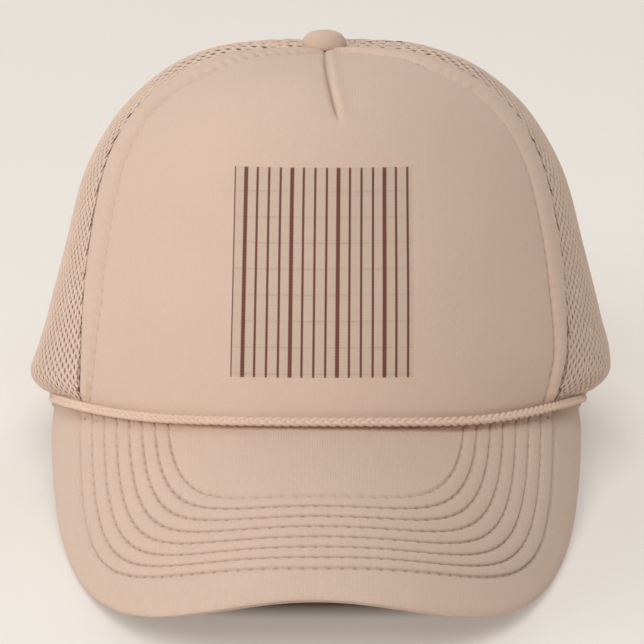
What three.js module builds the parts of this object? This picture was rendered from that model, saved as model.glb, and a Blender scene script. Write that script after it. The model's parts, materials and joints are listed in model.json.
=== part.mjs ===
// A foam-fronted trucker hat with a curved bill, in millimetres, +Z up, its front towards -Y.
// Every piece is worked out in the wearing frame: the origin lies in the middle of the head opening, on
// the plane of the rim, and an angle round the hat is 0 at the front and grows towards +X. The finished
// hat is then tipped back until it stands on its bill's corners and its rear rim, as it would by itself.
import * as THREE from "three";

// Head opening and crown, to their outer faces
const rimHalfWidth = 87.5;
const rimFront = 98;
const rimBack = 100;
const rimRise = 11.9; // how far the rim climbs from the sides to the middle of the front
const crownHeight = 116;
const topHole = 2.6; // radius left open under the button, where all the panels meet

// Walls of cloth, foam and net
const foamThickness = 3;
const netThickness = 1.2;
const pieceGap = 0.3;

// Panels: the foam front, then two panels of net on each side
const backSeamAngle = 122;
const foldWidth = 6.2; // foam turned over the seam, up to its topstitch
const foldRise = 0.7;
const stitchSink = 0.5;
const dartLength = 42; // the sewn pinch that runs down the foam from the button
const dartDrift = 5.5;
const dartDepth = 1.5;
const dartWidth = 2.4;

// Opening at the back, its binding and its strap
const archHalfWidth = 44;
const archHeight = 47;
const bindingWidth = 8;
const bindingThickness = 1.8;
const bindingGap = 0.8; // the net's cut edge stops this short of the binding
const strapHeight = 20;
const strapThickness = 1.6;
const strapOverlap = 11;
const strapLift = 1;

// Sweatband
const bandHeight = 32;
const bandThickness = 1.5;
const bandLift = 0.8;

// Bill
const billHalfWidth = 89;
const billLength = 75.5;
const billSlope = 31.25;
const billDrop = 26.6; // how far the arched bill falls at billDropAt from its middle line
const billDropAt = 57;
const billDropPower = 2.23;
const billSidePower = 0.69;
const billFrontPower = 1.1;
const billTuck = 1.5; // how far the bill reaches in under the crown's hem
const billEndAngle = 86;
const boardThickness = 2.4;
const underclothThickness = 1;

// Trim
const ropeDiameter = 2.9;
const ropeEndAngle = 86.5;
const buttonDiameter = 14.4;
const buttonHeight = 6.6;

// The crown from the rim up. Heights are shares of the crown's height, the other lengths are shares of
// the rim's half width, front and back, and seam is the angle of the foam panel's edge in degrees.
const sections = [
  { up: 0.0, foam: 1.0, net: 1.0, front: 1.0, back: 1.0, seam: 60.0 },
  { up: 0.1, foam: 1.014, net: 1.074, front: 0.985, back: 1.03, seam: 58.8 },
  { up: 0.25, foam: 0.998, net: 1.026, front: 0.96, back: 1.04, seam: 60.0 },
  { up: 0.45, foam: 0.948, net: 0.956, front: 0.915, back: 0.985, seam: 63.2 },
  { up: 0.65, foam: 0.882, net: 0.886, front: 0.85, back: 0.88, seam: 65.4 },
  { up: 0.8, foam: 0.774, net: 0.775, front: 0.765, back: 0.75, seam: 68.6 },
  { up: 0.9, foam: 0.634, net: 0.634, front: 0.65, back: 0.6, seam: 71.6 },
  { up: 0.96, foam: 0.484, net: 0.484, front: 0.5, back: 0.44, seam: 72.0 },
  { up: 0.99, foam: 0.335, net: 0.335, front: 0.31, back: 0.27, seam: 72.5 },
  { up: 1.0, foam: 0.0, net: 0.0, front: 0.0, back: 0.0, seam: 73.0 },
];

const tan = 0xd3bba8;
const cloth = new THREE.MeshStandardMaterial({ color: tan, roughness: 0.9, metalness: 0 });
const net = new THREE.MeshStandardMaterial({ color: 0xc9ae97, roughness: 0.75, metalness: 0 });
const cord = new THREE.MeshStandardMaterial({ color: 0xd5bca8, roughness: 0.7, metalness: 0 });
const plastic = new THREE.MeshStandardMaterial({ color: 0xc4a993, roughness: 0.45, metalness: 0 });

const { degToRad, lerp, clamp, smoothstep } = THREE.MathUtils;

// A smooth curve through a table's rows that never runs past them.
function curveThrough(stations, values) {
  const slopes = values.slice(1).map((v, i) => (v - values[i]) / (stations[i + 1] - stations[i]));
  const tangents = values.map((_, i) => {
    if (i === 0 || i === slopes.length) return slopes[Math.min(i, slopes.length - 1)];
    const turns = slopes[i - 1] * slopes[i] <= 0;
    return turns ? 0 : (2 * slopes[i - 1] * slopes[i]) / (slopes[i - 1] + slopes[i]);
  });
  return (at) => {
    let i = 0;
    while (i < slopes.length - 1 && at > stations[i + 1]) i++;
    const span = stations[i + 1] - stations[i];
    const t = clamp((at - stations[i]) / span, 0, 1);
    const rise = t * t * (3 - 2 * t);
    const start = t * (1 - t) * (1 - t) * span * tangents[i];
    const end = t * t * (t - 1) * span * tangents[i + 1];
    return values[i] * (1 - rise) + values[i + 1] * rise + start + end;
  };
}

// The way up the crown is measured along the side's outline, as a share of its length.
const strides = sections.slice(1).map((row, i) => Math.hypot(
  (row.up - sections[i].up) * crownHeight,
  (row.net - sections[i].net) * rimHalfWidth,
));
const meridian = strides.reduce((sum, stride) => sum + stride, 0);
const stations = sections.map((_, i) => strides.slice(0, i).reduce((sum, s) => sum + s, 0) / meridian);
const column = (name) => curveThrough(stations, sections.map((row) => row[name]));
const share = {
  up: column("up"),
  foam: column("foam"),
  net: column("net"),
  front: column("front"),
  back: column("back"),
  seam: column("seam"),
};
const crownEnd = 1 - topHole / meridian;

const rimHeight = (angle) => rimRise * Math.max(Math.cos(angle), 0);

// The net's share of the form, from none on the foam to all of it at the side.
const netShare = (angle) => smoothstep(Math.abs(angle), degToRad(56), degToRad(88));

// A point on the crown's outer face. Where bulge is false, the sides stay inside the rim's outline, as
// the sweatband does.
function crownPoint(angle, way, bulge = true) {
  const limit = bulge ? Infinity : 1;
  const half = Math.min(lerp(share.foam(way), share.net(way), netShare(angle)), limit);
  const back = Math.min(share.back(way), limit);
  const depth = Math.cos(angle) > 0 ? rimFront * share.front(way) : rimBack * back;
  const rim = rimHeight(angle);
  return new THREE.Vector3(
    rimHalfWidth * half * Math.sin(angle),
    -depth * Math.cos(angle),
    rim + (crownHeight - rim) * share.up(way),
  );
}

// The outward normal of a surface given as a function of an angle and a way up.
function crownNormal(angle, way, bulge = true) {
  const step = 1e-3;
  const across = crownPoint(angle + step, way, bulge).sub(crownPoint(angle - step, way, bulge));
  const low = Math.max(way - step, 0);
  const upward = crownPoint(angle, way + step, bulge).sub(crownPoint(angle, low, bulge));
  return across.cross(upward).normalize();
}

// A point below the crown's outer face. On the hem it stays level, so that the hem's edge is flat.
function belowCrown(angle, way, depth, bulge = true) {
  const point = crownPoint(angle, way, bulge);
  const inner = point.clone().addScaledVector(crownNormal(angle, way, bulge), -depth);
  if (way === 0) inner.z = point.z;
  return inner;
}

const radiusAt = (angle, way) => {
  const point = crownPoint(angle, way);
  return Math.hypot(point.x, point.y);
};

// A number of equal steps from one value to another, both ends included.
const steps = (from, to, count) =>
  Array.from({ length: count + 1 }, (_, i) => lerp(from, to, i / count));

// A closed wall between two faces, each a function of u and v, over a grid of the given values.
function wallBetween(us, vs, outer, inner) {
  const positions = [outer, inner].flatMap((face) =>
    us.flatMap((u) => vs.flatMap((v) => face(u, v).toArray())));
  const at = (side, i, j) => (side * us.length + i) * vs.length + j;
  const lastU = us.length - 1;
  const lastV = vs.length - 1;
  const index = [];
  const quad = (a, b, c, d) => index.push(a, b, c, a, c, d);
  for (let i = 0; i < lastU; i++) {
    for (let j = 0; j < lastV; j++) {
      quad(at(0, i, j), at(0, i + 1, j), at(0, i + 1, j + 1), at(0, i, j + 1));
      quad(at(1, i, j), at(1, i, j + 1), at(1, i + 1, j + 1), at(1, i + 1, j));
    }
    quad(at(0, i, 0), at(1, i, 0), at(1, i + 1, 0), at(0, i + 1, 0));
    quad(at(0, i + 1, lastV), at(1, i + 1, lastV), at(1, i, lastV), at(0, i, lastV));
  }
  for (let j = 0; j < lastV; j++) {
    quad(at(0, 0, j + 1), at(1, 0, j + 1), at(1, 0, j), at(0, 0, j));
    quad(at(0, lastU, j), at(1, lastU, j), at(1, lastU, j + 1), at(0, lastU, j + 1));
  }
  const geometry = new THREE.BufferGeometry();
  geometry.setAttribute("position", new THREE.Float32BufferAttribute(positions, 3));
  geometry.setIndex(index);
  geometry.computeVertexNormals();
  return geometry;
}

// The foam's surface rises over the turned edge, sinks at the topstitch and comes back level. Places are
// shares of the fold's width from the panel's edge.
const foldTurns = [
  { at: 0, rise: -0.3 },
  { at: 0.24, rise: foldRise },
  { at: 0.73, rise: foldRise },
  { at: 1, rise: -stitchSink },
  { at: 1.5, rise: 0 },
];
const foldSpan = foldWidth * foldTurns.at(-1).at;
const foldProfile = curveThrough(foldTurns.map((t) => t.at * foldWidth), foldTurns.map((t) => t.rise));

function dartSink(point, way) {
  const down = (1 - way) * meridian;
  const line = dartDrift * smoothstep(down, dartLength * 0.2, dartLength);
  const fade = 1 - smoothstep(down, dartLength * 0.7, dartLength);
  return dartDepth * fade * Math.exp(-(((point.x - line) / dartWidth) ** 2));
}

function makeFrontPanel() {
  const flat = 0.8; // share of u inside the turned edges
  const middle = [0, 0.04, 0.08, 0.12, 0.2, 0.31, 0.43, 0.55, 0.67, flat];
  const edge = foldTurns.slice(0, -1).map((turn) => 1 - (1 - flat) * (turn.at / foldTurns.at(-1).at));
  const half = [...middle, ...edge.reverse()];
  const us = [...half.slice(1).reverse().map((u) => -u), ...half];
  const fromEdge = (u) => foldSpan * Math.max(1 - Math.abs(u), 0) / (1 - flat);
  const angleAt = (u, way) => {
    const seam = degToRad(share.seam(way));
    const radius = radiusAt(seam, way);
    const edgeAngle = seam - pieceGap / 2 / radius;
    const flatAngle = edgeAngle - Math.min(foldSpan / radius, edgeAngle * (1 - flat));
    const out = (Math.abs(u) - flat) / (1 - flat);
    const size = out > 0 ? lerp(flatAngle, edgeAngle, out) : flatAngle * Math.abs(u) / flat;
    return Math.sign(u) * size;
  };
  const relief = (u, way, angle) => {
    const level = smoothstep(way, 0, 0.05);
    const fold = Math.abs(u) > flat ? foldProfile(fromEdge(u)) : 0;
    return level * fold - dartSink(crownPoint(angle, way), way);
  };
  const face = (depth) => (u, way) => {
    const angle = angleAt(u, way);
    return belowCrown(angle, way, depth - relief(u, way, angle));
  };
  return wallBetween(us, steps(0, crownEnd, 18), face(0), face(foamThickness));
}

// Net panels: u runs from the front seam of a panel to its rear seam, v from its hem to the button.
function makeNetPanel(side, fromAngle, toAngle, us, hem = () => 0) {
  const angleAt = (u, way) => {
    const middle = (fromAngle(way) + toAngle(way)) / 2;
    const gap = pieceGap / 2 / radiusAt(middle, way);
    return side * lerp(fromAngle(way) + gap, toAngle(way) - gap, u);
  };
  const place = (u, v) => {
    const start = hem(Math.abs(angleAt(u, 0)));
    const way = v === 0 ? start : lerp(start, crownEnd, v);
    return [angleAt(u, way), way];
  };
  const face = (depth) => (u, v) => belowCrown(...place(u, v), depth);
  return wallBetween(us, steps(0, 1, 14), face(0), face(netThickness));
}

// The arch's edge round the back: how far up the crown it stands at an angle from the middle of the
// back. grow moves it outwards, for the outer edge of the binding.
const wayUp = (height) => height / meridian;
function archWay(fromBack, grow) {
  const half = (archHalfWidth + grow) / rimBack;
  const along = 1 - (Math.abs(fromBack) / half) ** 2.2;
  return along > 0 ? wayUp((archHeight + grow) * Math.sqrt(along)) : 0;
}

const frontSeam = (way) => degToRad(share.seam(way));
const rearSeam = () => degToRad(backSeamAngle);
const middleBack = () => Math.PI;

const makeSidePanel = (side) => makeNetPanel(side, frontSeam, rearSeam, steps(0, 1, 12));

// The rear panel's columns crowd towards the foot of the arch, where its edge stands upright.
function makeRearPanel(side) {
  const grow = bindingWidth + bindingGap;
  const span = Math.PI - rearSeam();
  const foot = 1 - (archHalfWidth + grow) / rimBack / span;
  const arch = steps(0, 1, 8).map((t) => foot + (1 - foot) * (1 - Math.cos((t * Math.PI) / 2)));
  const us = [...steps(0, foot, 5).slice(0, -1), ...arch];
  const hem = (angle) => archWay(Math.PI - angle, grow);
  return makeNetPanel(side, rearSeam, middleBack, us, hem);
}

// The binding is a flat tape that follows the arch, standing as far out of the net as into it.
function makeArchBinding() {
  const proud = (bindingThickness - netThickness) / 2;
  const place = (u, v) => {
    const turn = u * Math.PI;
    const grow = bindingWidth * v;
    const half = (archHalfWidth + grow) / rimBack;
    const fromBack = half * Math.sign(Math.cos(turn)) * Math.abs(Math.cos(turn)) ** 0.91;
    return [Math.PI + fromBack, u === 0 || u === 1 ? 0 : archWay(fromBack, grow)];
  };
  const face = (depth) => (u, v) => belowCrown(...place(u, v), depth);
  return wallBetween(steps(0, 1, 24), steps(0, 1, 2), face(-proud), face(netThickness + proud));
}

// The closed strap behind the opening, one plain band inside the net at its two ends.
function makeBackStrap() {
  const depth = (netThickness + bindingThickness) / 2 + pieceGap;
  const half = (archHalfWidth + bindingWidth + strapOverlap) / rimBack;
  const face = (inset) => (u, v) => {
    const angle = Math.PI + half * u;
    const point = belowCrown(angle, 0, inset, false);
    point.z += strapLift + strapHeight * v;
    return point;
  };
  return wallBetween(steps(1, -1, 24), steps(0, 1, 2), face(depth), face(depth + strapThickness));
}

// The sweatband lies behind the foam and then behind the net, and stops short of the strap's ends.
function makeSweatband() {
  const inset = (angle) => pieceGap + lerp(
    foamThickness + foldRise,
    netThickness,
    smoothstep(Math.abs(angle), degToRad(66), degToRad(84)),
  );
  const strapEnd = (archHalfWidth + bindingWidth + strapOverlap) / rimBack;
  const end = Math.PI - strapEnd - (pieceGap * 4) / rimBack;
  const face = (depth) => (angle, v) => {
    const point = belowCrown(angle, wayUp(bandHeight) * v, inset(angle) + depth, false);
    point.z += bandLift * (1 - v);
    return point;
  };
  return wallBetween(steps(-end, end, 48), steps(0, 1, 3), face(0), face(bandThickness));
}

// The bill's upper face as a height over its plan. It is an arched sheet that slopes down to the front,
// near the crown it bends up to meet the rim all along the join, and inside the rim it lies level under it.
const billFront = rimFront + billLength * Math.cos(degToRad(billSlope));
const archedSheet = (x, y) => {
  const fall = (-y - rimFront) * Math.tan(degToRad(billSlope));
  return rimRise - fall - billDrop * (Math.abs(x) / billDropAt) ** billDropPower;
};

function billHeight(x, y) {
  const inRim = Math.hypot(x / rimHalfWidth, y / rimFront) <= 1;
  if (inRim) return (-rimRise * y) / rimFront - pieceGap;
  const turn = Math.atan2(Math.abs(x) / rimHalfWidth, -y / rimFront);
  const joinSheet = archedSheet(rimHalfWidth * Math.sin(turn), -rimFront * Math.cos(turn));
  const lift = rimHeight(turn) - joinSheet;
  const pastJoin = Math.max((x / rimHalfWidth) ** 2 + (y / rimFront) ** 2 - 1, 0);
  const sideTerm = Math.min(Math.abs(x) / billHalfWidth, 1) ** (2 / billSidePower);
  const toEdge = Math.max(1 - sideTerm - (Math.abs(y) / billFront) ** (2 / billFrontPower), 0);
  const spread = 2.3; // makes the way from the join to the edge run evenly
  const way = pastJoin / (pastJoin + spread * toEdge + 1e-6);
  return archedSheet(x, y) + (1 - way) * lift - pieceGap;
}

function billPoint(u, v, depth) {
  const joinAngle = degToRad(billEndAngle) * u;
  const edgeTurn = (Math.PI / 2) * Math.sign(u) * Math.abs(u) ** 1.25;
  const join = new THREE.Vector2(
    (rimHalfWidth - billTuck) * Math.sin(joinAngle),
    -(rimFront - billTuck) * Math.cos(joinAngle),
  );
  const edge = new THREE.Vector2(
    billHalfWidth * Math.sign(u) * Math.abs(Math.sin(edgeTurn)) ** billSidePower,
    -billFront * Math.max(Math.cos(edgeTurn), 0) ** billFrontPower,
  );
  const { x, y } = join.lerp(edge, v);
  const step = 0.2;
  const slopeX = (billHeight(x + step, y) - billHeight(x - step, y)) / (2 * step);
  const slopeY = (billHeight(x, y + step) - billHeight(x, y - step)) / (2 * step);
  const normal = new THREE.Vector3(-slopeX, -slopeY, 1).normalize();
  return new THREE.Vector3(x, y, billHeight(x, y)).addScaledVector(normal, -depth);
}

function makeBillLayer(depth, thickness, rows) {
  const face = (at) => (u, v) => billPoint(u, v, at);
  return wallBetween(steps(-1, 1, 40), steps(0, 1, rows), face(depth), face(depth + thickness));
}

// A round section swept along a curve, closed at both ends.
function rodAlong(curve, diameter, sides, stepCount) {
  const section = new THREE.Shape(
    Array.from({ length: sides }, (_, i) => {
      const turn = (i * 2 * Math.PI) / sides;
      return new THREE.Vector2(Math.cos(turn), Math.sin(turn)).multiplyScalar(diameter / 2);
    }),
  );
  return new THREE.ExtrudeGeometry(section, {
    steps: stepCount,
    extrudePath: curve,
    bevelEnabled: false,
  });
}

// The rope lies in the corner between the crown's hem and the bill.
function makeRope() {
  const end = degToRad(ropeEndAngle);
  const off = ropeDiameter / 2 + pieceGap;
  const route = steps(-end, end, 60).map((angle) => {
    const overhang = Math.max(radiusAt(angle, wayUp(2 * off)) - radiusAt(angle, 0), 0);
    const outward = crownNormal(angle, 0).setZ(0).normalize().multiplyScalar(overhang + off);
    return crownPoint(angle, 0).add(outward).add(new THREE.Vector3(0, 0, off));
  });
  return rodAlong(new THREE.CatmullRomCurve3(route), ropeDiameter, 8, 78);
}

// The button: a covered dome with a short shank in the hole at the crown's top.
function makeButton() {
  const radius = buttonDiameter / 2;
  const base = crownHeight + pieceGap;
  const shank = topHole - pieceGap * 2;
  const dome = steps(0, Math.PI / 2, 7).map((turn) => new THREE.Vector2(
    radius * Math.cos(turn) ** 0.75,
    base + buttonHeight * (0.28 + 0.72 * Math.sin(turn)),
  ));
  const profile = [
    new THREE.Vector2(0, base - 2.4),
    new THREE.Vector2(shank, base - 2.4),
    new THREE.Vector2(shank, base),
    new THREE.Vector2(radius * 0.93, base),
    ...dome.slice(0, -1),
    new THREE.Vector2(0, base + buttonHeight),
  ];
  return new THREE.LatheGeometry(profile, 24).rotateX(Math.PI / 2);
}

const pieces = [
  ["front_panel", cloth, makeFrontPanel()],
  ["mesh_side_right", net, makeSidePanel(1)],
  ["mesh_side_left", net, makeSidePanel(-1)],
  ["mesh_back_right", net, makeRearPanel(1)],
  ["mesh_back_left", net, makeRearPanel(-1)],
  ["arch_binding", cloth, makeArchBinding()],
  ["back_strap", plastic, makeBackStrap()],
  ["sweatband", cloth, makeSweatband()],
  ["bill_top", cloth, makeBillLayer(0, boardThickness, 8)],
  ["bill_under", cloth, makeBillLayer(boardThickness + pieceGap, underclothThickness, 6)],
  ["bill_rope", cord, makeRope()],
  ["top_button", cloth, makeButton()],
];

// Turns a closed mesh so that its faces point out, whichever way its grid ran.
function faceOut(geometry) {
  const solid = geometry.index ? geometry.toNonIndexed() : geometry;
  const place = solid.getAttribute("position");
  const [a, b, c] = [new THREE.Vector3(), new THREE.Vector3(), new THREE.Vector3()];
  let volume = 0;
  for (let i = 0; i < place.count; i += 3) {
    [a, b, c].forEach((corner, k) => corner.fromBufferAttribute(place, i + k));
    volume += a.dot(b.cross(c)) / 6;
  }
  const turned = new THREE.BufferGeometry();
  const order = volume > 0 ? [0, 1, 2] : [0, 2, 1];
  const corners = [];
  for (let i = 0; i < place.count; i += 3)
    order.forEach((k) => corners.push(place.getX(i + k), place.getY(i + k), place.getZ(i + k)));
  turned.setAttribute("position", new THREE.Float32BufferAttribute(corners, 3));
  turned.computeVertexNormals();
  return turned;
}

const hat = new THREE.Group();
for (const [name, material, geometry] of pieces) {
  const mesh = new THREE.Mesh(faceOut(geometry), material);
  mesh.name = name;
  hat.add(mesh);
}

// The tilt at which the hat stands on its bill and its rear rim: the line under all of its outline, seen
// from the side, that touches one point in front of the head and one behind it.
function restingTilt() {
  const outline = hat.children.flatMap((mesh) => {
    const place = mesh.geometry.getAttribute("position");
    return Array.from({ length: place.count }, (_, i) => new THREE.Vector2(place.getY(i), place.getZ(i)));
  });
  const front = outline.filter((point) => point.x < 0);
  const rear = outline.filter((point) => point.x > 0);
  const lowest = (points, from) => points.reduce((best, point) => {
    const climb = (p) => (p.y - from.y) / Math.abs(p.x - from.x);
    return climb(point) < climb(best) ? point : best;
  });
  let heel = rear.reduce((best, point) => (point.y < best.y ? point : best));
  let toe = front[0];
  for (let round = 0; round < 4; round++) {
    toe = lowest(front, heel);
    heel = lowest(rear, toe);
  }
  return Math.atan2(heel.y - toe.y, heel.x - toe.x);
}

hat.rotation.x = -restingTilt();
const part = new THREE.Group();
part.add(hat);
const box = new THREE.Box3().setFromObject(part, true);
const middle = box.getCenter(new THREE.Vector3());
hat.position.set(-middle.x, -middle.y, -box.min.z);

export default part;
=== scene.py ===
"""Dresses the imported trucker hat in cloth, net, stitching and rope, and sets it in a pale studio.

Every shape is worked out in the wearing frame, in millimetres: the origin lies in the middle of the head
opening on the plane of the rim, +X goes to the right of the picture, the front is towards -Y, and an
angle round the hat is 0 at the front and grows towards +X. Placement turns that into the part's frame.
"""

import json
import logging
import math
from collections.abc import Callable
from dataclasses import dataclass, field
from enum import Enum

import bmesh
import bpy
import numpy as np
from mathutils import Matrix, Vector


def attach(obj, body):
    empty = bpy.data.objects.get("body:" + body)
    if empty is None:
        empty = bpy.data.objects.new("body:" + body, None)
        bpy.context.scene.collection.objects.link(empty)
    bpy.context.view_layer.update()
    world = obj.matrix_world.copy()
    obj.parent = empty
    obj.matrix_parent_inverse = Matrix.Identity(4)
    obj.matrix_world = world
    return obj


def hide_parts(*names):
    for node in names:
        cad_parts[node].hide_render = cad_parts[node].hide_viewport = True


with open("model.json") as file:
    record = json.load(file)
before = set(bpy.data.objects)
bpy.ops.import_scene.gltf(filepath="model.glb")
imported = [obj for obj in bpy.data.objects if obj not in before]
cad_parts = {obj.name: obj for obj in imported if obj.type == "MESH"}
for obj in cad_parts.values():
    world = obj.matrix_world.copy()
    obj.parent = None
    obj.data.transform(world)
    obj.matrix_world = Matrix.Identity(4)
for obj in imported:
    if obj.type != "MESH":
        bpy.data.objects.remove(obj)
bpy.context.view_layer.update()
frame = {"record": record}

log = logging.getLogger("hat")
BODY = "root"
MM = 0.001


class Slot(Enum):
    """The record's material slots."""

    FOAM_CLOTH = "foam_cloth"
    NET = "net"
    TAPE = "tape"
    STRAP = "strap_plastic"
    BAND = "band_cloth"
    BILL_CLOTH = "bill_cloth"
    ROPE = "rope"


def lerp(a: np.ndarray, b: np.ndarray, t: np.ndarray) -> np.ndarray:
    """Goes from a to b as t goes from 0 to 1."""
    return a * (1 - t) + b * t


def smoothstep(x: np.ndarray, low: float, high: float) -> np.ndarray:
    """Rises smoothly from 0 at low to 1 at high."""
    t = np.clip((x - low) / (high - low), 0, 1)
    return t * t * (3 - 2 * t)


def bell(x: np.ndarray, width: float) -> np.ndarray:
    """A smooth hump of height 1 at x = 0."""
    return np.exp(-((x / width) ** 2))


def curve_through(at: list[float], values: list[float]) -> Callable[[np.ndarray], np.ndarray]:
    """A smooth curve through a table's rows that never runs past them.

    Args:
        at: The rising stations of the rows.
        values: The value at each station.

    Returns:
        A function of an array of stations.
    """
    x, y = np.asarray(at, float), np.asarray(values, float)
    slopes = np.diff(y) / np.diff(x)
    tangents = np.concatenate([slopes[:1], np.zeros(len(slopes) - 1), slopes[-1:]])
    for i in range(1, len(slopes)):
        if slopes[i - 1] * slopes[i] > 0:
            tangents[i] = 2 * slopes[i - 1] * slopes[i] / (slopes[i - 1] + slopes[i])

    def value(place: np.ndarray) -> np.ndarray:
        """The curve's height at each place."""
        i = np.clip(np.searchsorted(x, place) - 1, 0, len(slopes) - 1)
        span = x[i + 1] - x[i]
        t = np.clip((place - x[i]) / span, 0, 1)
        rise = t * t * (3 - 2 * t)
        start = t * (1 - t) ** 2 * span * tangents[i]
        end = t * t * (t - 1) * span * tangents[i + 1]
        return y[i] * (1 - rise) + y[i + 1] * rise + start + end

    return value


def unit(vectors: np.ndarray) -> np.ndarray:
    """The vectors at length 1."""
    return vectors / np.maximum(np.linalg.norm(vectors, axis=-1, keepdims=True), 1e-12)


def run_length(points: np.ndarray) -> np.ndarray:
    """The way along a line of points, from 0 at its first point."""
    return np.concatenate([[0.0], np.cumsum(np.linalg.norm(np.diff(points, axis=0), axis=1))])


def hem_lift(angle: np.ndarray) -> np.ndarray:
    """How far this hat's hem has settled above its plain line at angles round the hat."""
    size = np.abs(angle)
    lift = -1.3 + 3.0 * smoothstep(size, 0.5, 1.35) - 1.7 * smoothstep(size, 1.5, 2.3)
    return lift - 0.6 * bell(angle - 0.55, 0.3)


@dataclass(frozen=True)
class Placement:
    """Turns the wearing frame, in millimetres, into the part's frame, in metres."""

    tilt: float
    shift_y: float
    shift_z: float
    rest_y: float = 97.4
    rest_z: float = 1.0

    @classmethod
    def from_record(cls, record: dict) -> "Placement":
        """Reads the tilt and the place off the record's rear resting face.

        Args:
            record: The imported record.

        Returns:
            The placement of the hat as it stands.
        """
        mount = next(m for m in record["mounts"] if m["name"] == "rear_rest")
        tilt = math.atan2(-mount["axis"][1], -mount["axis"][2])
        y, z = cls.rest_y, cls.rest_z
        return cls(
            tilt,
            mount["pos_m"][1] / MM - (y * math.cos(tilt) + z * math.sin(tilt)),
            mount["pos_m"][2] / MM - (z * math.cos(tilt) - y * math.sin(tilt)),
        )

    def to_part(self, points: np.ndarray) -> np.ndarray:
        """Places points of the wearing frame.

        Args:
            points: Points in millimetres, one to a row.

        Returns:
            The points in the part's frame, in metres.
        """
        x, y, z = points[..., 0], points[..., 1], points[..., 2]
        c, s = math.cos(self.tilt), math.sin(self.tilt)
        return np.stack([x, y * c + z * s + self.shift_y, z * c - y * s + self.shift_z], -1) * MM


@dataclass
class Crown:
    """The crown's outer form, as the solids have it."""

    rim_half_width: float = 87.5
    rim_front: float = 98.0
    rim_back: float = 100.0
    rim_rise: float = 11.9
    height: float = 116.0
    top_hole: float = 2.6
    rear_seam: float = math.radians(122)
    lean: float = 2.0
    squeeze: float = 0.025
    settled_to: float = 0.15
    # up, foam, net, front, back, seam in degrees
    sections: tuple = (
        (0.0, 1.0, 1.0, 1.0, 1.0, 60.0),
        (0.1, 1.014, 1.074, 0.985, 1.03, 58.8),
        (0.25, 0.998, 1.026, 0.96, 1.04, 60.0),
        (0.45, 0.948, 0.956, 0.915, 0.985, 63.2),
        (0.65, 0.882, 0.886, 0.85, 0.88, 65.4),
        (0.8, 0.774, 0.775, 0.765, 0.75, 68.6),
        (0.9, 0.634, 0.634, 0.65, 0.6, 71.6),
        (0.96, 0.484, 0.484, 0.5, 0.44, 72.0),
        (0.99, 0.335, 0.335, 0.31, 0.27, 72.5),
        (1.0, 0.0, 0.0, 0.0, 0.0, 73.0),
    )
    meridian: float = field(init=False)
    end: float = field(init=False)

    def __post_init__(self) -> None:
        """Works out the curves through the sections."""
        rows = np.array(self.sections)
        strides = np.hypot(np.diff(rows[:, 0]) * self.height, np.diff(rows[:, 2]) * self.rim_half_width)
        self.meridian = float(strides.sum())
        self.end = 1 - self.top_hole / self.meridian
        at = np.concatenate([[0], np.cumsum(strides)]) / self.meridian
        names = ("up", "foam", "net", "front", "back", "seam")
        self.share = {name: curve_through(at, rows[:, i]) for i, name in enumerate(names)}

    def seam(self, way: np.ndarray) -> np.ndarray:
        """The angle of the foam panel's edge."""
        return np.radians(self.share["seam"](way))

    def way_up(self, height: float) -> float:
        """A length up the side, as a share of the way to the top."""
        return height / self.meridian

    def point(self, angle: np.ndarray, way: np.ndarray, bulge: bool = True) -> np.ndarray:
        """Points on the outer face.

        Args:
            angle: Angles round the hat.
            way: Shares of the way from the rim to the top.
            bulge: False to keep the sides inside the rim's outline, as the sweatband does.

        Returns:
            The points in millimetres.
        """
        angle, way = np.broadcast_arrays(np.asarray(angle, float), np.asarray(way, float))
        net = smoothstep(np.abs(angle), math.radians(56), math.radians(88))
        half = lerp(self.share["foam"](way), self.share["net"](way), net)
        back = self.share["back"](way)
        if not bulge:
            half, back = np.minimum(half, 1), np.minimum(back, 1)
        front = self.rim_front * self.share["front"](way)
        depth = np.where(np.cos(angle) > 0, front, self.rim_back * back)
        rim = self.rim_rise * np.maximum(np.cos(angle), 0)
        x = self.rim_half_width * half * np.sin(angle)
        low = 1 - smoothstep(way, 0.0, self.settled_to)
        return np.stack([
            x - low * (self.lean + self.squeeze * x),
            -depth * np.cos(angle),
            rim + (self.height - rim) * self.share["up"](way) + low * hem_lift(angle),
        ], -1)

    def normal(self, angle: np.ndarray, way: np.ndarray, bulge: bool = True) -> np.ndarray:
        """Outward normals of the outer face, for the same arguments as point."""
        step = 1e-3
        across = self.point(angle + step, way, bulge) - self.point(angle - step, way, bulge)
        low = np.maximum(way - step, 0)
        upward = self.point(angle, way + step, bulge) - self.point(angle, low, bulge)
        return unit(np.cross(across, upward))

    def raised(self, angle: np.ndarray, way: np.ndarray, rise: np.ndarray, bulge: bool = True) -> np.ndarray:
        """Points that stand off the outer face by rise; those on the hem stay level.

        Args:
            angle: Angles round the hat.
            way: Shares of the way up.
            rise: Millimetres outwards.
            bulge: As for point.

        Returns:
            The points in millimetres.
        """
        angle, way, rise = np.broadcast_arrays(
            np.asarray(angle, float), np.asarray(way, float), np.asarray(rise, float))
        base = self.point(angle, way, bulge)
        out = base + self.normal(angle, way, bulge) * rise[..., None]
        out[..., 2] = np.where(way <= 0, base[..., 2], out[..., 2])
        return out

    def radius(self, angle: np.ndarray, way: np.ndarray) -> np.ndarray:
        """The distance from the middle line."""
        return np.hypot(*np.moveaxis(self.point(angle, way), -1, 0)[:2])


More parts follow.
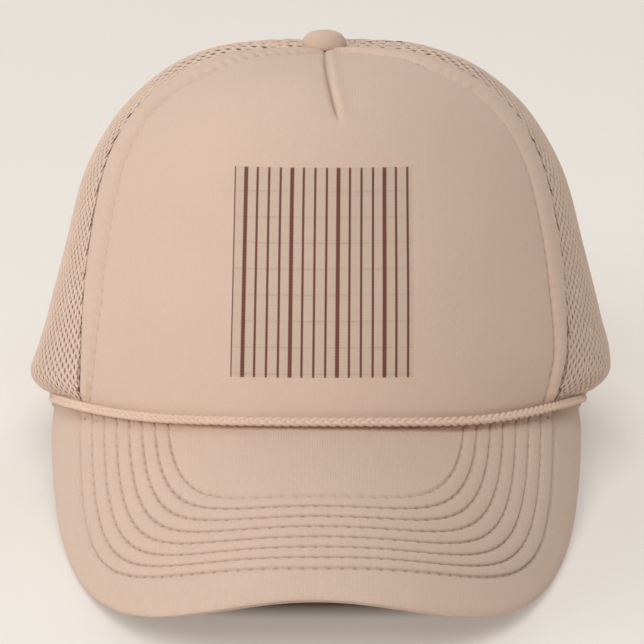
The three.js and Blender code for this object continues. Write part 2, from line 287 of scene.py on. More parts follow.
@dataclass
class BillForm:
    """The bill's upper face over its plan, and the family of curves that its stitch rows follow."""

    crown: Crown
    half_width: float = 89.0
    length: float = 75.5
    slope: float = math.radians(31.25)
    drop: float = 26.6
    drop_at: float = 57.0
    drop_power: float = 2.23
    side_power: float = 0.69
    front_power: float = 1.1
    tuck: float = 1.5
    end_angle: float = math.radians(86)
    gap: float = 0.3
    spread: float = 2.3
    turn_power: float = 1.25
    row_count: int = 8

    @property
    def front(self) -> float:
        """How far the bill's tip lies in front of the middle."""
        return self.crown.rim_front + self.length * math.cos(self.slope)

    def arched(self, x: np.ndarray, y: np.ndarray) -> np.ndarray:
        """The height of the plain arched sheet."""
        fall = (-y - self.crown.rim_front) * math.tan(self.slope)
        return self.crown.rim_rise - fall - self.drop * (np.abs(x) / self.drop_at) ** self.drop_power

    def height(self, x: np.ndarray, y: np.ndarray) -> np.ndarray:
        """The height of the upper face over a plan point, bent up to meet the rim."""
        a, b = self.crown.rim_half_width, self.crown.rim_front
        turn = np.arctan2(np.abs(x) / a, -y / b)
        rim = self.crown.rim_rise * np.maximum(np.cos(turn), 0)
        lift = rim - self.arched(a * np.sin(turn), -b * np.cos(turn))
        past = np.maximum((x / a) ** 2 + (y / b) ** 2 - 1, 0)
        side = np.minimum(np.abs(x) / self.half_width, 1) ** (2 / self.side_power)
        to_edge = np.maximum(1 - side - (np.abs(y) / self.front) ** (2 / self.front_power), 0)
        way = past / (past + self.spread * to_edge + 1e-6)
        level = -self.crown.rim_rise * y / b
        outside = self.arched(x, y) + (1 - way) * lift
        return np.where(np.hypot(x / a, y / b) <= 1, level, outside) - self.gap

    def normal(self, x: np.ndarray, y: np.ndarray) -> np.ndarray:
        """The upward normal over a plan point."""
        step = 0.2
        slope_x = (self.height(x + step, y) - self.height(x - step, y)) / (2 * step)
        slope_y = (self.height(x, y + step) - self.height(x, y - step)) / (2 * step)
        return unit(np.stack([-slope_x, -slope_y, np.ones_like(slope_x)], -1))

    def plan(self, u: np.ndarray, v: np.ndarray) -> tuple[np.ndarray, np.ndarray]:
        """The plan point at u across, from -1 to 1, and v from the join to the edge."""
        angle = self.end_angle * u
        turn = (math.pi / 2) * np.sign(u) * np.abs(u) ** self.turn_power
        join_x = (self.crown.rim_half_width - self.tuck) * np.sin(angle)
        join_y = -(self.crown.rim_front - self.tuck) * np.cos(angle)
        edge_x = self.half_width * np.sign(u) * np.abs(np.sin(turn)) ** self.side_power
        edge_y = -self.front * np.maximum(np.cos(turn), 0) ** self.front_power
        return lerp(join_x, edge_x, v), lerp(join_y, edge_y, v)

    @staticmethod
    def row_shape(row: np.ndarray) -> tuple[np.ndarray, ...]:
        """A stitch row's half width, reach and two exponents; row 0 is the outermost."""
        return 77.0 - 4.17 * row, 152.0 - 3.74 * row, 2.0 + 0.07 * row, 3.85 + 0.4 * row

    def row_at(self, x: np.ndarray, y: np.ndarray) -> np.ndarray:
        """Which row, whole or between two, runs through each plan point."""
        low, high = np.full(x.shape, -3.0), np.full(x.shape, 11.0)
        for _ in range(24):
            middle = (low + high) / 2
            wide, long, m, n = self.row_shape(middle)
            outside = (np.abs(x) / wide) ** m + (np.abs(y) / long) ** n > 1
            high, low = np.where(outside, middle, high), np.where(outside, low, middle)
        return (low + high) / 2

    def row_span(self, row: float, u: np.ndarray) -> np.ndarray:
        """Plan points spread evenly along a row, from its left end under the rim to its right one.

        Args:
            row: The row, whole or between two.
            u: Shares of the row from -1 to 1.

        Returns:
            Plan points.
        """
        wide, long, m, n = self.row_shape(row)
        turn = np.linspace(-1, 1, 4001) * math.pi / 2
        x = wide * np.sign(turn) * np.abs(np.sin(turn)) ** (2 / m)
        y = -long * np.maximum(np.cos(turn), 0) ** (2 / n)
        short, reach = self.crown.rim_half_width - self.tuck, self.crown.rim_front - self.tuck
        keep = (x / short) ** 2 + (y / reach) ** 2 >= 1
        line = np.stack([x[keep], y[keep]], -1)
        way = run_length(line)
        at = (u + 1) / 2 * way[-1]
        return np.stack([np.interp(at, way, line[:, i]) for i in range(2)], -1)

    def row_line(self, row: int, pitch: float) -> np.ndarray:
        """Points along one stitch row at a steady pitch, in plan.

        Args:
            row: The row's number, 0 outermost.
            pitch: The distance between two points.

        Returns:
            Plan points from the left join to the right one, outside the rim.
        """
        wide, long, m, n = self.row_shape(float(row))
        t = np.linspace(-1, 1, 4001)
        turn = t * math.pi / 2
        x = wide * np.sign(turn) * np.abs(np.sin(turn)) ** (2 / m)
        y = -long * np.maximum(np.cos(turn), 0) ** (2 / n)
        keep = (x / self.crown.rim_half_width) ** 2 + (y / self.crown.rim_front) ** 2 > 1.07
        line = np.stack([x[keep], y[keep], self.height(x[keep], y[keep])], -1)
        way = run_length(line)
        at = np.linspace(0, way[-1], int(round(way[-1] / pitch)) + 1)
        return np.stack([np.interp(at, way, line[:, i]) for i in range(2)], -1)


class NodeDesk:
    """Adds nodes to one material and wires them."""

    def __init__(self, name: str) -> None:
        """Starts an empty material of that name with its shader and output."""
        self.material = bpy.data.materials.new(name)
        self.material.use_nodes = True
        self.tree = self.material.node_tree
        self.tree.nodes.clear()
        self.output = self.tree.nodes.new("ShaderNodeOutputMaterial")
        self.shader = self.tree.nodes.new("ShaderNodeBsdfPrincipled")
        self.link(self.shader.outputs[0], self.output.inputs[0])

    def link(self, out: bpy.types.NodeSocket, into: bpy.types.NodeSocket) -> None:
        """Joins two sockets."""
        self.tree.links.new(out, into)

    def node(self, kind: str, **settings: object) -> bpy.types.Node:
        """Adds a node and sets its options."""
        made = self.tree.nodes.new(kind)
        for name, value in settings.items():
            setattr(made, name, value)
        return made

    def feed(self, socket: bpy.types.NodeSocket, value: object) -> None:
        """Links a socket to another, or sets its plain value."""
        if isinstance(value, bpy.types.NodeSocket):
            self.link(value, socket)
        else:
            socket.default_value = value

    def math(self, operation: str, a: object, b: object = 0.0, c: object = 0.0) -> bpy.types.NodeSocket:
        """A sum, product or other operation on numbers or sockets."""
        made = self.node("ShaderNodeMath", operation=operation)
        for socket, value in zip(made.inputs, (a, b, c)):
            self.feed(socket, value)
        return made.outputs[0]

    def mix(self, factor: object, a: object, b: object) -> bpy.types.NodeSocket:
        """A colour between a and b."""
        made = self.node("ShaderNodeMix", data_type="RGBA")
        self.feed(made.inputs[0], factor)
        self.feed(made.inputs[6], a)
        self.feed(made.inputs[7], b)
        return made.outputs[2]

    def place(self) -> bpy.types.NodeSocket:
        """The piece's own coordinates, in metres."""
        return self.node("ShaderNodeTexCoord").outputs["Object"]

    def noise(self, scale: float, detail: float = 2.0, at: object = None) -> bpy.types.NodeSocket:
        """A cloudy pattern with scale waves to the unit."""
        made = self.node("ShaderNodeTexNoise")
        made.inputs["Scale"].default_value = scale
        made.inputs["Detail"].default_value = detail
        self.link(at if at is not None else self.place(), made.inputs["Vector"])
        return made.outputs[0]

    def cloth_map(self) -> tuple[bpy.types.NodeSocket, bpy.types.NodeSocket]:
        """Millimetres across and along the cloth, from the piece's own UV map."""
        split = self.node("ShaderNodeSeparateXYZ")
        self.link(self.node("ShaderNodeUVMap", uv_map=UV_NAME).outputs[0], split.inputs[0])
        return split.outputs[0], split.outputs[1]

    def wave(self, along: object, pitch: float) -> bpy.types.NodeSocket:
        """A sine between 0 and 1 that repeats every pitch."""
        turned = self.math("SINE", self.math("MULTIPLY", along, 2 * math.pi / pitch))
        return self.math("MULTIPLY_ADD", turned, 0.5, 0.5)

    def step(self, value: object, low: float, high: float) -> bpy.types.NodeSocket:
        """A smooth step from 0 at low to 1 at high."""
        made = self.node("ShaderNodeMapRange", interpolation_type="SMOOTHSTEP")
        self.feed(made.inputs["Value"], value)
        made.inputs["From Min"].default_value = low
        made.inputs["From Max"].default_value = high
        return made.outputs[0]

    def bump(self, height: object, depth: float, before: object = None) -> bpy.types.NodeSocket:
        """A bumped normal, depth in metres for a height of 1."""
        made = self.node("ShaderNodeBump")
        made.inputs["Strength"].default_value = 1.0
        made.inputs["Distance"].default_value = depth
        self.feed(made.inputs["Height"], height)
        if before is not None:
            self.link(before, made.inputs["Normal"])
        return made.outputs[0]


UV_NAME = "cloth"
SEAM_UV = "seams"


def linear(red: int, green: int, blue: int) -> tuple[float, float, float, float]:
    """A colour given as it shows on screen, made linear."""
    shares = [c / 255 for c in (red, green, blue)]
    return tuple([c / 12.92 if c < 0.04045 else ((c + 0.055) / 1.055) ** 2.4 for c in shares] + [1.0])


def shaded(colour: tuple, factor: float) -> tuple[float, float, float, float]:
    """A colour made lighter or darker."""
    return (colour[0] * factor, colour[1] * factor, colour[2] * factor, 1.0)


@dataclass(frozen=True)
class Cloth:
    """A matt fabric with a fine rib, a cross weave, a little unevenness and, where sewn, painted shade in its
    stitch grooves.
    """

    name: str
    colour: tuple
    rib: float = 0.95
    weave: float = 0.8
    rib_depth: float = 0.00006
    contrast: float = 0.07
    mottle: float = 0.05
    roughness: float = 0.92
    sheen: float = 0.12
    fuzz: float = 0.10
    sewn_rows: int = 0
    hole_shade: float = 0.26

    def build(self) -> bpy.types.Material:
        """Makes the material."""
        return self.desk().material

    def seams(self, desk: NodeDesk) -> bpy.types.NodeSocket:
        """The shade in the stitched grooves, deepest at the needle holes."""
        split = desk.node("ShaderNodeSeparateXYZ")
        desk.link(desk.node("ShaderNodeUVMap", uv_map=SEAM_UV).outputs[0], split.inputs[0])
        off_row = desk.math("PINGPONG", split.outputs[0], 0.5)
        off_hole = desk.math("PINGPONG", split.outputs[1], 0.5)
        row_fall = desk.math("DIVIDE", off_row, 0.09)
        hole_fall = desk.math("DIVIDE", off_hole, 0.15)
        away = desk.math("ADD", desk.math("POWER", row_fall, 2.0), desk.math("POWER", hole_fall, 2.0))
        hole = desk.math("EXPONENT", desk.math("MULTIPLY", away, -1.0))
        line = desk.math("EXPONENT", desk.math("MULTIPLY", desk.math("POWER", row_fall, 2.0), -1.6))
        sewn = desk.math("GREATER_THAN", split.outputs[0], -0.45)
        sewn = desk.math("MULTIPLY", sewn, desk.math("LESS_THAN", split.outputs[0], self.sewn_rows - 0.55))
        shade = desk.math("MULTIPLY_ADD", hole, self.hole_shade, desk.math("MULTIPLY", line, 0.08))
        return desk.math("MULTIPLY", shade, sewn)

    def desk(self) -> NodeDesk:
        """Makes the material and keeps its node desk, so that a print can be added.

        Returns:
            The desk; its ground attribute is the cloth's colour, with any painted shade in its stitch grooves,
            before any print.
        """
        desk = NodeDesk(self.name)
        across, along = desk.cloth_map()
        rib = desk.wave(across, self.rib)
        step = desk.math("MULTIPLY", desk.math("FLOOR", desk.math("DIVIDE", across, self.rib)), self.weave / 2)
        weave = desk.wave(desk.math("ADD", along, step), self.weave)
        thread = desk.math("MULTIPLY", rib, desk.math("MULTIPLY_ADD", weave, 0.45, 0.55))
        fuzz = desk.noise(900.0, 3.0)
        cloud = desk.noise(22.0, 3.0)
        uneven = desk.math("MULTIPLY_ADD", cloud, 2 * self.mottle, -self.mottle)
        grain = desk.math("MULTIPLY_ADD", thread, self.contrast, 1 - self.contrast)
        grain = desk.math("ADD", grain, uneven)
        grain = desk.math("ADD", grain, desk.math("MULTIPLY_ADD", fuzz, self.fuzz, -self.fuzz / 2))
        # Painted shade in the stitch grooves and at the needle holes is taken off the grain.
        if self.sewn_rows:
            grain = desk.math("SUBTRACT", grain, self.seams(desk))
        dark = shaded(self.colour, 0.45)
        desk.ground = desk.mix(desk.math("MULTIPLY_ADD", grain, 1.8, -0.8), dark, self.colour)
        desk.link(desk.ground, desk.shader.inputs["Base Color"])
        height = desk.math("ADD", thread, desk.math("MULTIPLY", fuzz, 0.6))
        desk.link(desk.bump(height, self.rib_depth), desk.shader.inputs["Normal"])
        desk.shader.inputs["Roughness"].default_value = self.roughness
        desk.shader.inputs["Specular IOR Level"].default_value = 0.2
        desk.shader.inputs["Sheen Weight"].default_value = self.sheen
        desk.shader.inputs["Sheen Roughness"].default_value = 0.5
        return desk


class Dart:
    """The line of the dart: straight down from the button, then drifting to the right, in millimetres."""

    length: float = 68.8
    straight: float = 12.0
    drift: float = 4.5
    power: float = 2.7


@dataclass(frozen=True)
class StripedCloth(Cloth):
    """The foam's cloth with a printed block of ticking stripes at its middle and painted shade along the dart's
    crease.
    """

    stripe: tuple = linear(116, 54, 49)
    tint: tuple = linear(192, 174, 156)
    first: float = -23.6
    pitch: float = 3.49
    fan: float = 0.0247
    fan_from: float = 25.4
    half_thin: float = 0.36
    half_thick: float = 0.62
    left: float = -27.1
    right: float = 26.8
    bottom: float = 14.6
    top: float = 78.6
    line_pitch: float = 7.9
    cloth_top: float = 162.4

    def build(self) -> bpy.types.Material:
        """Adds the print, and the painted shade along the dart, to the cloth's nodes."""
        desk = self.desk()
        across, along = desk.cloth_map()
        down = desk.math("DIVIDE", desk.math("SUBTRACT", self.top, along), self.top - self.bottom)
        spread = desk.math("MULTIPLY_ADD", down, self.fan, 1.0)
        from_right = desk.math("SUBTRACT", across, self.fan_from)
        across = desk.math("ADD", desk.math("DIVIDE", from_right, spread), self.fan_from)
        turns = desk.math("DIVIDE", desk.math("SUBTRACT", across, self.first), self.pitch)
        number = desk.math("ROUND", turns)
        off = desk.math("MULTIPLY", desk.math("ABSOLUTE", desk.math("SUBTRACT", turns, number)), self.pitch)
        fourth = desk.math("ABSOLUTE", desk.math("SUBTRACT", desk.math("FLOORED_MODULO", number, 4.0), 0.0))
        thick = desk.math("LESS_THAN", fourth, 0.5)
        half = desk.math("MULTIPLY_ADD", thick, self.half_thick - self.half_thin, self.half_thin)
        dash = desk.wave(along, 0.9)
        half = desk.math("MULTIPLY", half, desk.math("MULTIPLY_ADD", dash, 0.34, 0.8))
        on_stripe = self.soft_under(desk, off, half, 0.14)
        inside = self.inside(desk, across, along)
        lines = desk.math("DIVIDE", desk.math("SUBTRACT", along, self.bottom + 1.1), self.line_pitch)
        line_off = desk.math("ABSOLUTE", desk.math("SUBTRACT", lines, desk.math("ROUND", lines)))
        line_off = desk.math("MULTIPLY", line_off, self.line_pitch)
        worn = desk.math("MULTIPLY_ADD", desk.noise(170.0, 2.0), 2.4, -0.6)
        on_line = desk.math("MULTIPLY", self.soft_under(desk, line_off, 0.22, 0.5), worn)
        on_line = desk.math("MULTIPLY", desk.math("MULTIPLY", on_line, inside), 0.34)
        weave = desk.math("MULTIPLY", desk.wave(across, 0.75), desk.wave(along, 0.75))
        tinted = desk.mix(desk.math("MULTIPLY", weave, 0.35), self.tint, shaded(self.tint, 0.72))
        ground = desk.mix(desk.math("MULTIPLY", inside, 0.42), desk.ground, tinted)
        ground = desk.mix(on_line, ground, linear(128, 124, 118))
        ink = desk.mix(desk.math("MULTIPLY", dash, 0.55), self.stripe, shaded(self.stripe, 0.5))
        covered = desk.math("MULTIPLY", desk.math("MULTIPLY", on_stripe, inside), 0.93)
        inked = desk.mix(covered, ground, ink)
        # Painted shade along the dart's crease.
        shade = desk.math("MULTIPLY", self.crease(desk), 0.7)
        desk.link(desk.mix(shade, inked, shaded(self.colour, 0.35)), desk.shader.inputs["Base Color"])
        return desk.material

    def crease(self, desk: NodeDesk) -> bpy.types.NodeSocket:
        """1 along the bottom of the dart, where painted shade darkens the cloth."""
        across, along = desk.cloth_map()
        down = desk.math("SUBTRACT", self.cloth_top, along)
        share = desk.math("MAXIMUM", desk.math("SUBTRACT", down, Dart.straight), 0.0)
        share = desk.math("DIVIDE", share, Dart.length - Dart.straight)
        drift = desk.math("MULTIPLY", desk.math("POWER", share, Dart.power), Dart.drift)
        off = desk.math("DIVIDE", desk.math("SUBTRACT", across, drift), 0.42)
        line = desk.math("EXPONENT", desk.math("MULTIPLY", desk.math("POWER", off, 2.0), -1.0))
        fade = desk.math("SUBTRACT", 1.0, desk.step(down, Dart.length - 6, Dart.length))
        return desk.math("MULTIPLY", line, fade)

    @staticmethod
    def soft_under(desk: NodeDesk, value: object, limit: object, soft: float) -> bpy.types.NodeSocket:
        """1 where value is under limit, with an edge of width soft."""
        made = desk.math("DIVIDE", desk.math("SUBTRACT", limit, value), soft)
        clamp = desk.node("ShaderNodeClamp")
        desk.link(desk.math("ADD", made, 0.5), clamp.inputs[0])
        return clamp.outputs[0]

    def inside(self, desk: NodeDesk, across: object, along: object) -> bpy.types.NodeSocket:
        """1 inside the printed block."""
        wide = desk.math("ABSOLUTE", desk.math("SUBTRACT", across, (self.left + self.right) / 2))
        tall = desk.math("ABSOLUTE", desk.math("SUBTRACT", along, (self.bottom + self.top) / 2))
        return desk.math(
            "MULTIPLY",
            self.soft_under(desk, wide, (self.right - self.left) / 2, 0.2),
            self.soft_under(desk, tall, (self.top - self.bottom) / 2, 0.2),
        )


@dataclass(frozen=True)
class Yarn:
    """Spun thread for the net, the stitches and the rope, with its fibres as a fine grain."""

    name: str
    colour: tuple
    grain: float = 1400.0
    depth: float = 0.00005
    contrast: float = 0.22
    roughness: float = 0.8

    def build(self) -> bpy.types.Material:
        """Makes the material."""
        desk = NodeDesk(self.name)
        fibre = desk.noise(self.grain, 3.0)
        cloud = desk.noise(40.0, 2.0)
        mixed = desk.math("MULTIPLY_ADD", fibre, 0.7, desk.math("MULTIPLY", cloud, 0.3))
        colour = desk.mix(mixed, shaded(self.colour, 1 - self.contrast), shaded(self.colour, 1 + self.contrast / 2))
        desk.link(colour, desk.shader.inputs["Base Color"])
        desk.link(desk.bump(fibre, self.depth), desk.shader.inputs["Normal"])
        desk.shader.inputs["Roughness"].default_value = self.roughness
        desk.shader.inputs["Specular IOR Level"].default_value = 0.3
        desk.shader.inputs["Sheen Weight"].default_value = 0.1
        return desk.material


@dataclass(frozen=True)
class Plastic:
    """Satin moulded plastic with a very fine grain."""

    name: str
    colour: tuple
    roughness: float = 0.42

    def build(self) -> bpy.types.Material:
        """Makes the material."""
        desk = NodeDesk(self.name)
        cloud = desk.noise(60.0, 3.0)
        desk.link(desk.mix(cloud, shaded(self.colour, 0.93), shaded(self.colour, 1.05)),
                  desk.shader.inputs["Base Color"])
        desk.link(desk.bump(desk.noise(2600.0, 2.0), 0.00002), desk.shader.inputs["Normal"])
        desk.link(desk.math("MULTIPLY_ADD", cloud, 0.12, self.roughness - 0.06), desk.shader.inputs["Roughness"])
        return desk.material


@dataclass(frozen=True)
class StudioPaper:
    """The plain pale floor and backdrop, given a faint painted glow everywhere but under the hat, where painted
    shadow darkens its colour.
    """

    name: str
    colour: tuple
    glow: float = 0.27
    shade_wide: float = 0.062
    shade_long: float = 0.088
    shade_soft: float = 0.12
    painted_shadow_under_hat: float = 0.62

    def build(self) -> bpy.types.Material:
        """Makes the material."""
        desk = NodeDesk(self.name)
        desk.shader.inputs["Roughness"].default_value = 0.95
        desk.shader.inputs["Specular IOR Level"].default_value = 0.05
        desk.shader.inputs["Emission Color"].default_value = linear(250, 243, 236)
        split = desk.node("ShaderNodeSeparateXYZ")
        desk.link(desk.place(), split.inputs[0])
        # A soft patch under the hat: clear is 0 inside it and 1 outside.
        across = desk.math("POWER", desk.math("DIVIDE", split.outputs[0], self.shade_wide), 4.0)
        along = desk.math("POWER", desk.math("DIVIDE", split.outputs[1], self.shade_long), 4.0)
        out = desk.math("SUBTRACT", desk.math("POWER", desk.math("ADD", across, along), 0.25), 1.0)
        clear = desk.node("ShaderNodeClamp")
        desk.link(desk.math("DIVIDE", out, self.shade_soft), clear.inputs[0])
        # Painted glow: the paper's emission, everywhere but under the hat.
        desk.link(desk.math("MULTIPLY", clear.outputs[0], self.glow), desk.shader.inputs["Emission Strength"])
        # Painted shadow: the paper's colour darkened inside the patch under the hat.
        painted_shadow_paper = shaded(self.colour, self.painted_shadow_under_hat)
        desk.link(desk.mix(clear.outputs[0], painted_shadow_paper, self.colour), desk.shader.inputs["Base Color"])
        return desk.material


@dataclass
class Workshop:
    """Makes meshes, places them and hands them to the frame."""

    placement: Placement

    def sheet(
        self,
        name: str,
        us: np.ndarray,
        vs: np.ndarray,
        place: Callable[[np.ndarray, np.ndarray], np.ndarray],
        cloth: Callable[[np.ndarray, np.ndarray], np.ndarray] | None = None,
        wall: float = 0.0,
        flip: bool = False,
        weld: bool = False,
    ) -> bpy.types.Object:
        """A grid whose vertices are moved onto a form.

        Args:
            name: The piece's name.
            us: The values of u at the grid's columns.
            vs: The values of v at the grid's rows.
            place: Gives the point in millimetres for each u and v.
            cloth: Gives the cloth's millimetres across and along for each u and v.
            wall: The wall's thickness in millimetres, inwards from the form.
            flip: True where u, v and the outward direction are left-handed.
            weld: True to close the grid where its borders meet.

        Returns:
            The new object.
        """
        grid = bmesh.new()
        bmesh.ops.create_grid(grid, x_segments=len(us) - 1, y_segments=len(vs) - 1, size=1.0)
        mesh = bpy.data.meshes.new(name)
        grid.to_mesh(mesh)
        grid.free()
        flat = np.empty(len(mesh.vertices) * 3)
        mesh.vertices.foreach_get("co", flat)
        flat = flat.reshape(-1, 3)
        u = us[np.rint((flat[:, 0] + 1) / 2 * (len(us) - 1)).astype(int)]
        v = vs[np.rint((flat[:, 1] + 1) / 2 * (len(vs) - 1)).astype(int)]
        mesh.vertices.foreach_set("co", self.placement.to_part(place(u, v)).ravel())
        layer = mesh.uv_layers.new(name=UV_NAME)
        corner = np.empty(len(mesh.loops), int)
        mesh.loops.foreach_get("vertex_index", corner)
        lengths = cloth(u, v) if cloth else np.stack([u, v], -1)
        layer.uv.foreach_set("vector", lengths[corner].astype(np.float32).ravel())
        if flip:
            mesh.flip_normals()
        if weld:
            joined = bmesh.new()
            joined.from_mesh(mesh)
            bmesh.ops.remove_doubles(joined, verts=joined.verts, dist=1e-6)
            joined.to_mesh(mesh)
            joined.free()
        return self.finish_mesh(mesh, wall)

    @staticmethod
    def second_map(
        made: bpy.types.Object, name: str, us: np.ndarray, vs: np.ndarray,
        values: Callable[[np.ndarray, np.ndarray], np.ndarray],
    ) -> None:
        """Adds another UV map to a sheet.

        Args:
            made: The sheet's object, its vertices still in the grid's order.
            name: The map's name.
            us: The values of u at the grid's columns.
            vs: The values of v at the grid's rows.
            values: Gives the map's two numbers for each u and v.
        """
        mesh = made.data
        order = np.arange(len(mesh.vertices))
        numbers = values(us[order % len(us)], vs[order // len(us)])
        corner = np.empty(len(mesh.loops), int)
        mesh.loops.foreach_get("vertex_index", corner)
        layer = mesh.uv_layers.new(name=name)
        layer.uv.foreach_set("vector", numbers[corner].astype(np.float32).ravel())

    @staticmethod
    def finish_mesh(mesh: bpy.types.Mesh, wall: float = 0.0) -> bpy.types.Object:
        """Makes a smooth object of a mesh, with a wall if asked for."""
        mesh.update()
        mesh.shade_smooth()
        made = bpy.data.objects.new(mesh.name, mesh)
        bpy.context.scene.collection.objects.link(made)
        if wall:
            solid = made.modifiers.new("wall", "SOLIDIFY")
            solid.thickness = wall * MM
            solid.offset = -1.0
        return made

    def tube(
        self, name: str, path: np.ndarray, facing: np.ndarray, radius: np.ndarray, sides: int = 6,
    ) -> bpy.types.Object:
        """A round strand along a path, closed to a point at both ends.

        Args:
            name: The piece's name.
            path: Points in millimetres along the strand.
            facing: A direction across the path at each point, from which the section starts.
            radius: The radius at each point; 0 at both ends.
            sides: The section's sides.

        Returns:
            The new object.
        """
        along = unit(np.gradient(path, axis=0))
        side = unit(np.cross(facing, along))
        out = np.cross(along, side)
        steps = np.arange(len(path), dtype=float)

        def place(u: np.ndarray, v: np.ndarray) -> np.ndarray:
            """The strand's surface at a step u and a turn v."""
            i = u.astype(int)
            turn = 2 * math.pi * v
            spoke = out[i] * np.cos(turn)[:, None] + side[i] * np.sin(turn)[:, None]
            return path[i] + spoke * radius[i][:, None]

        return self.sheet(name, steps, np.linspace(0, 1, sides + 1), place, weld=True, flip=True)

    @staticmethod
    def copies(name: str, pattern: bpy.types.Mesh, count: int) -> tuple[bpy.types.Mesh, np.ndarray]:
        """One mesh that holds a pattern many times.

        Args:
            name: The new mesh's name.
            pattern: The mesh to repeat.
            count: How many times.

        Returns:
            The mesh, and the pattern's own points, count rows of them.
        """
        many = bmesh.new()
        for _ in range(count):
            many.from_mesh(pattern)
        mesh = bpy.data.meshes.new(name)
        many.to_mesh(mesh)
        many.free()
        points = np.empty(len(mesh.vertices) * 3)
        mesh.vertices.foreach_get("co", points)
        return mesh, points.reshape(count, -1, 3)

    def stitches(
        self, name: str, starts: np.ndarray, ends: np.ndarray, facing: np.ndarray,
        thickness: float = 0.42, dip: float = 0.35,
    ) -> bpy.types.Object:
        """Short threads that arch out of the cloth between their needle holes.

        Args:
            name: The piece's name.
            starts: One end of each stitch, in millimetres.
            ends: The other end of each.
            facing: The cloth's outward normal at each.
            thickness: The thread's thickness.
            dip: How far the ends go down into the cloth.

        Returns:
            The new object.
        """
        seed = bmesh.new()
        bmesh.ops.create_uvsphere(seed, u_segments=6, v_segments=5, radius=1.0)
        pattern = bpy.data.meshes.new(name + "_pattern")
        seed.to_mesh(pattern)
        seed.free()
        mesh, local = self.copies(name, pattern, len(starts))
        bpy.data.meshes.remove(pattern)
        half = (ends - starts) / 2
        along = unit(half)
        side = unit(np.cross(along, facing))
        out = np.cross(side, along)
        around = np.hypot(local[..., 0], local[..., 1])
        fuller = 1 / np.sqrt(np.maximum(around, 1e-6))
        points = (
            ((starts + ends) / 2)[:, None]
            + half[:, None] * local[..., 2:3]
            + side[:, None] * (local[..., 0] * fuller * thickness / 2)[..., None]
            + out[:, None] * (local[..., 1] * fuller * thickness / 2 - dip * local[..., 2] ** 2)[..., None]
        )
        mesh.vertices.foreach_set("co", self.placement.to_part(points.reshape(-1, 3)).ravel())
        return self.finish_mesh(mesh)

    @staticmethod
    def deliver(
        piece: bpy.types.Object, material: bpy.types.Material, slot: Slot, *nodes: str,
    ) -> bpy.types.Object:
        """Gives a piece its material and its body, and hides the solids that it stands for.

        Args:
            piece: The finished piece.
            material: Its material.
            slot: The record's slot; not used.
            nodes: The names of the CAD nodes that it replaces.

        Returns:
            The piece.
        """
        piece.data.materials.append(material)
        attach(piece, BODY)
        if nodes:
            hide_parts(*nodes)
        log.info("%s: %d faces", piece.name, len(piece.data.polygons))
        return piece


@dataclass
class Finishes:
    """Every material of the hat, made once."""

    tan: tuple = linear(218, 192, 174)

    def __post_init__(self) -> None:
        """Builds the materials."""
        tan = self.tan
        self.foam = StripedCloth(
            "foam_cloth", tan, rib=0.9, rib_depth=0.00003, contrast=0.025, sewn_rows=1, hole_shade=0.3).build()
        self.lining = Cloth("foam_lining", shaded(tan, 1.05), rib=1.6, weave=1.6, contrast=0.12).build()
        sewn = {"rib": 0.8, "weave": 0.6, "rib_depth": 0.00007, "contrast": 0.05, "fuzz": 0.16}
        self.bill = Cloth("bill_cloth", tan, sewn_rows=8, **sewn).build()
        self.bill_lower = Cloth("bill_lower_cloth", tan, **sewn).build()
        self.tape = Cloth("binding_tape", shaded(tan, 0.97), rib=0.7, weave=0.7, contrast=0.1).build()
        self.hem = Cloth("net_hem_cloth", shaded(tan, 1.03), rib=1.3, weave=1.3, contrast=0.14).build()
        self.band = Cloth("band_cloth", shaded(tan, 1.0), rib=0.7, weave=1.2, contrast=0.1).build()
        self.net = Yarn("net_yarn", shaded(tan, 1.1)).build()
        self.thread = Yarn("sewing_thread", shaded(tan, 0.98), grain=2200.0).build()
        self.rope = Yarn("rope_yarn", shaded(tan, 1.15), grain=1800.0, contrast=0.18).build()
        self.strap = Plastic("strap_plastic", shaded(tan, 0.92)).build()


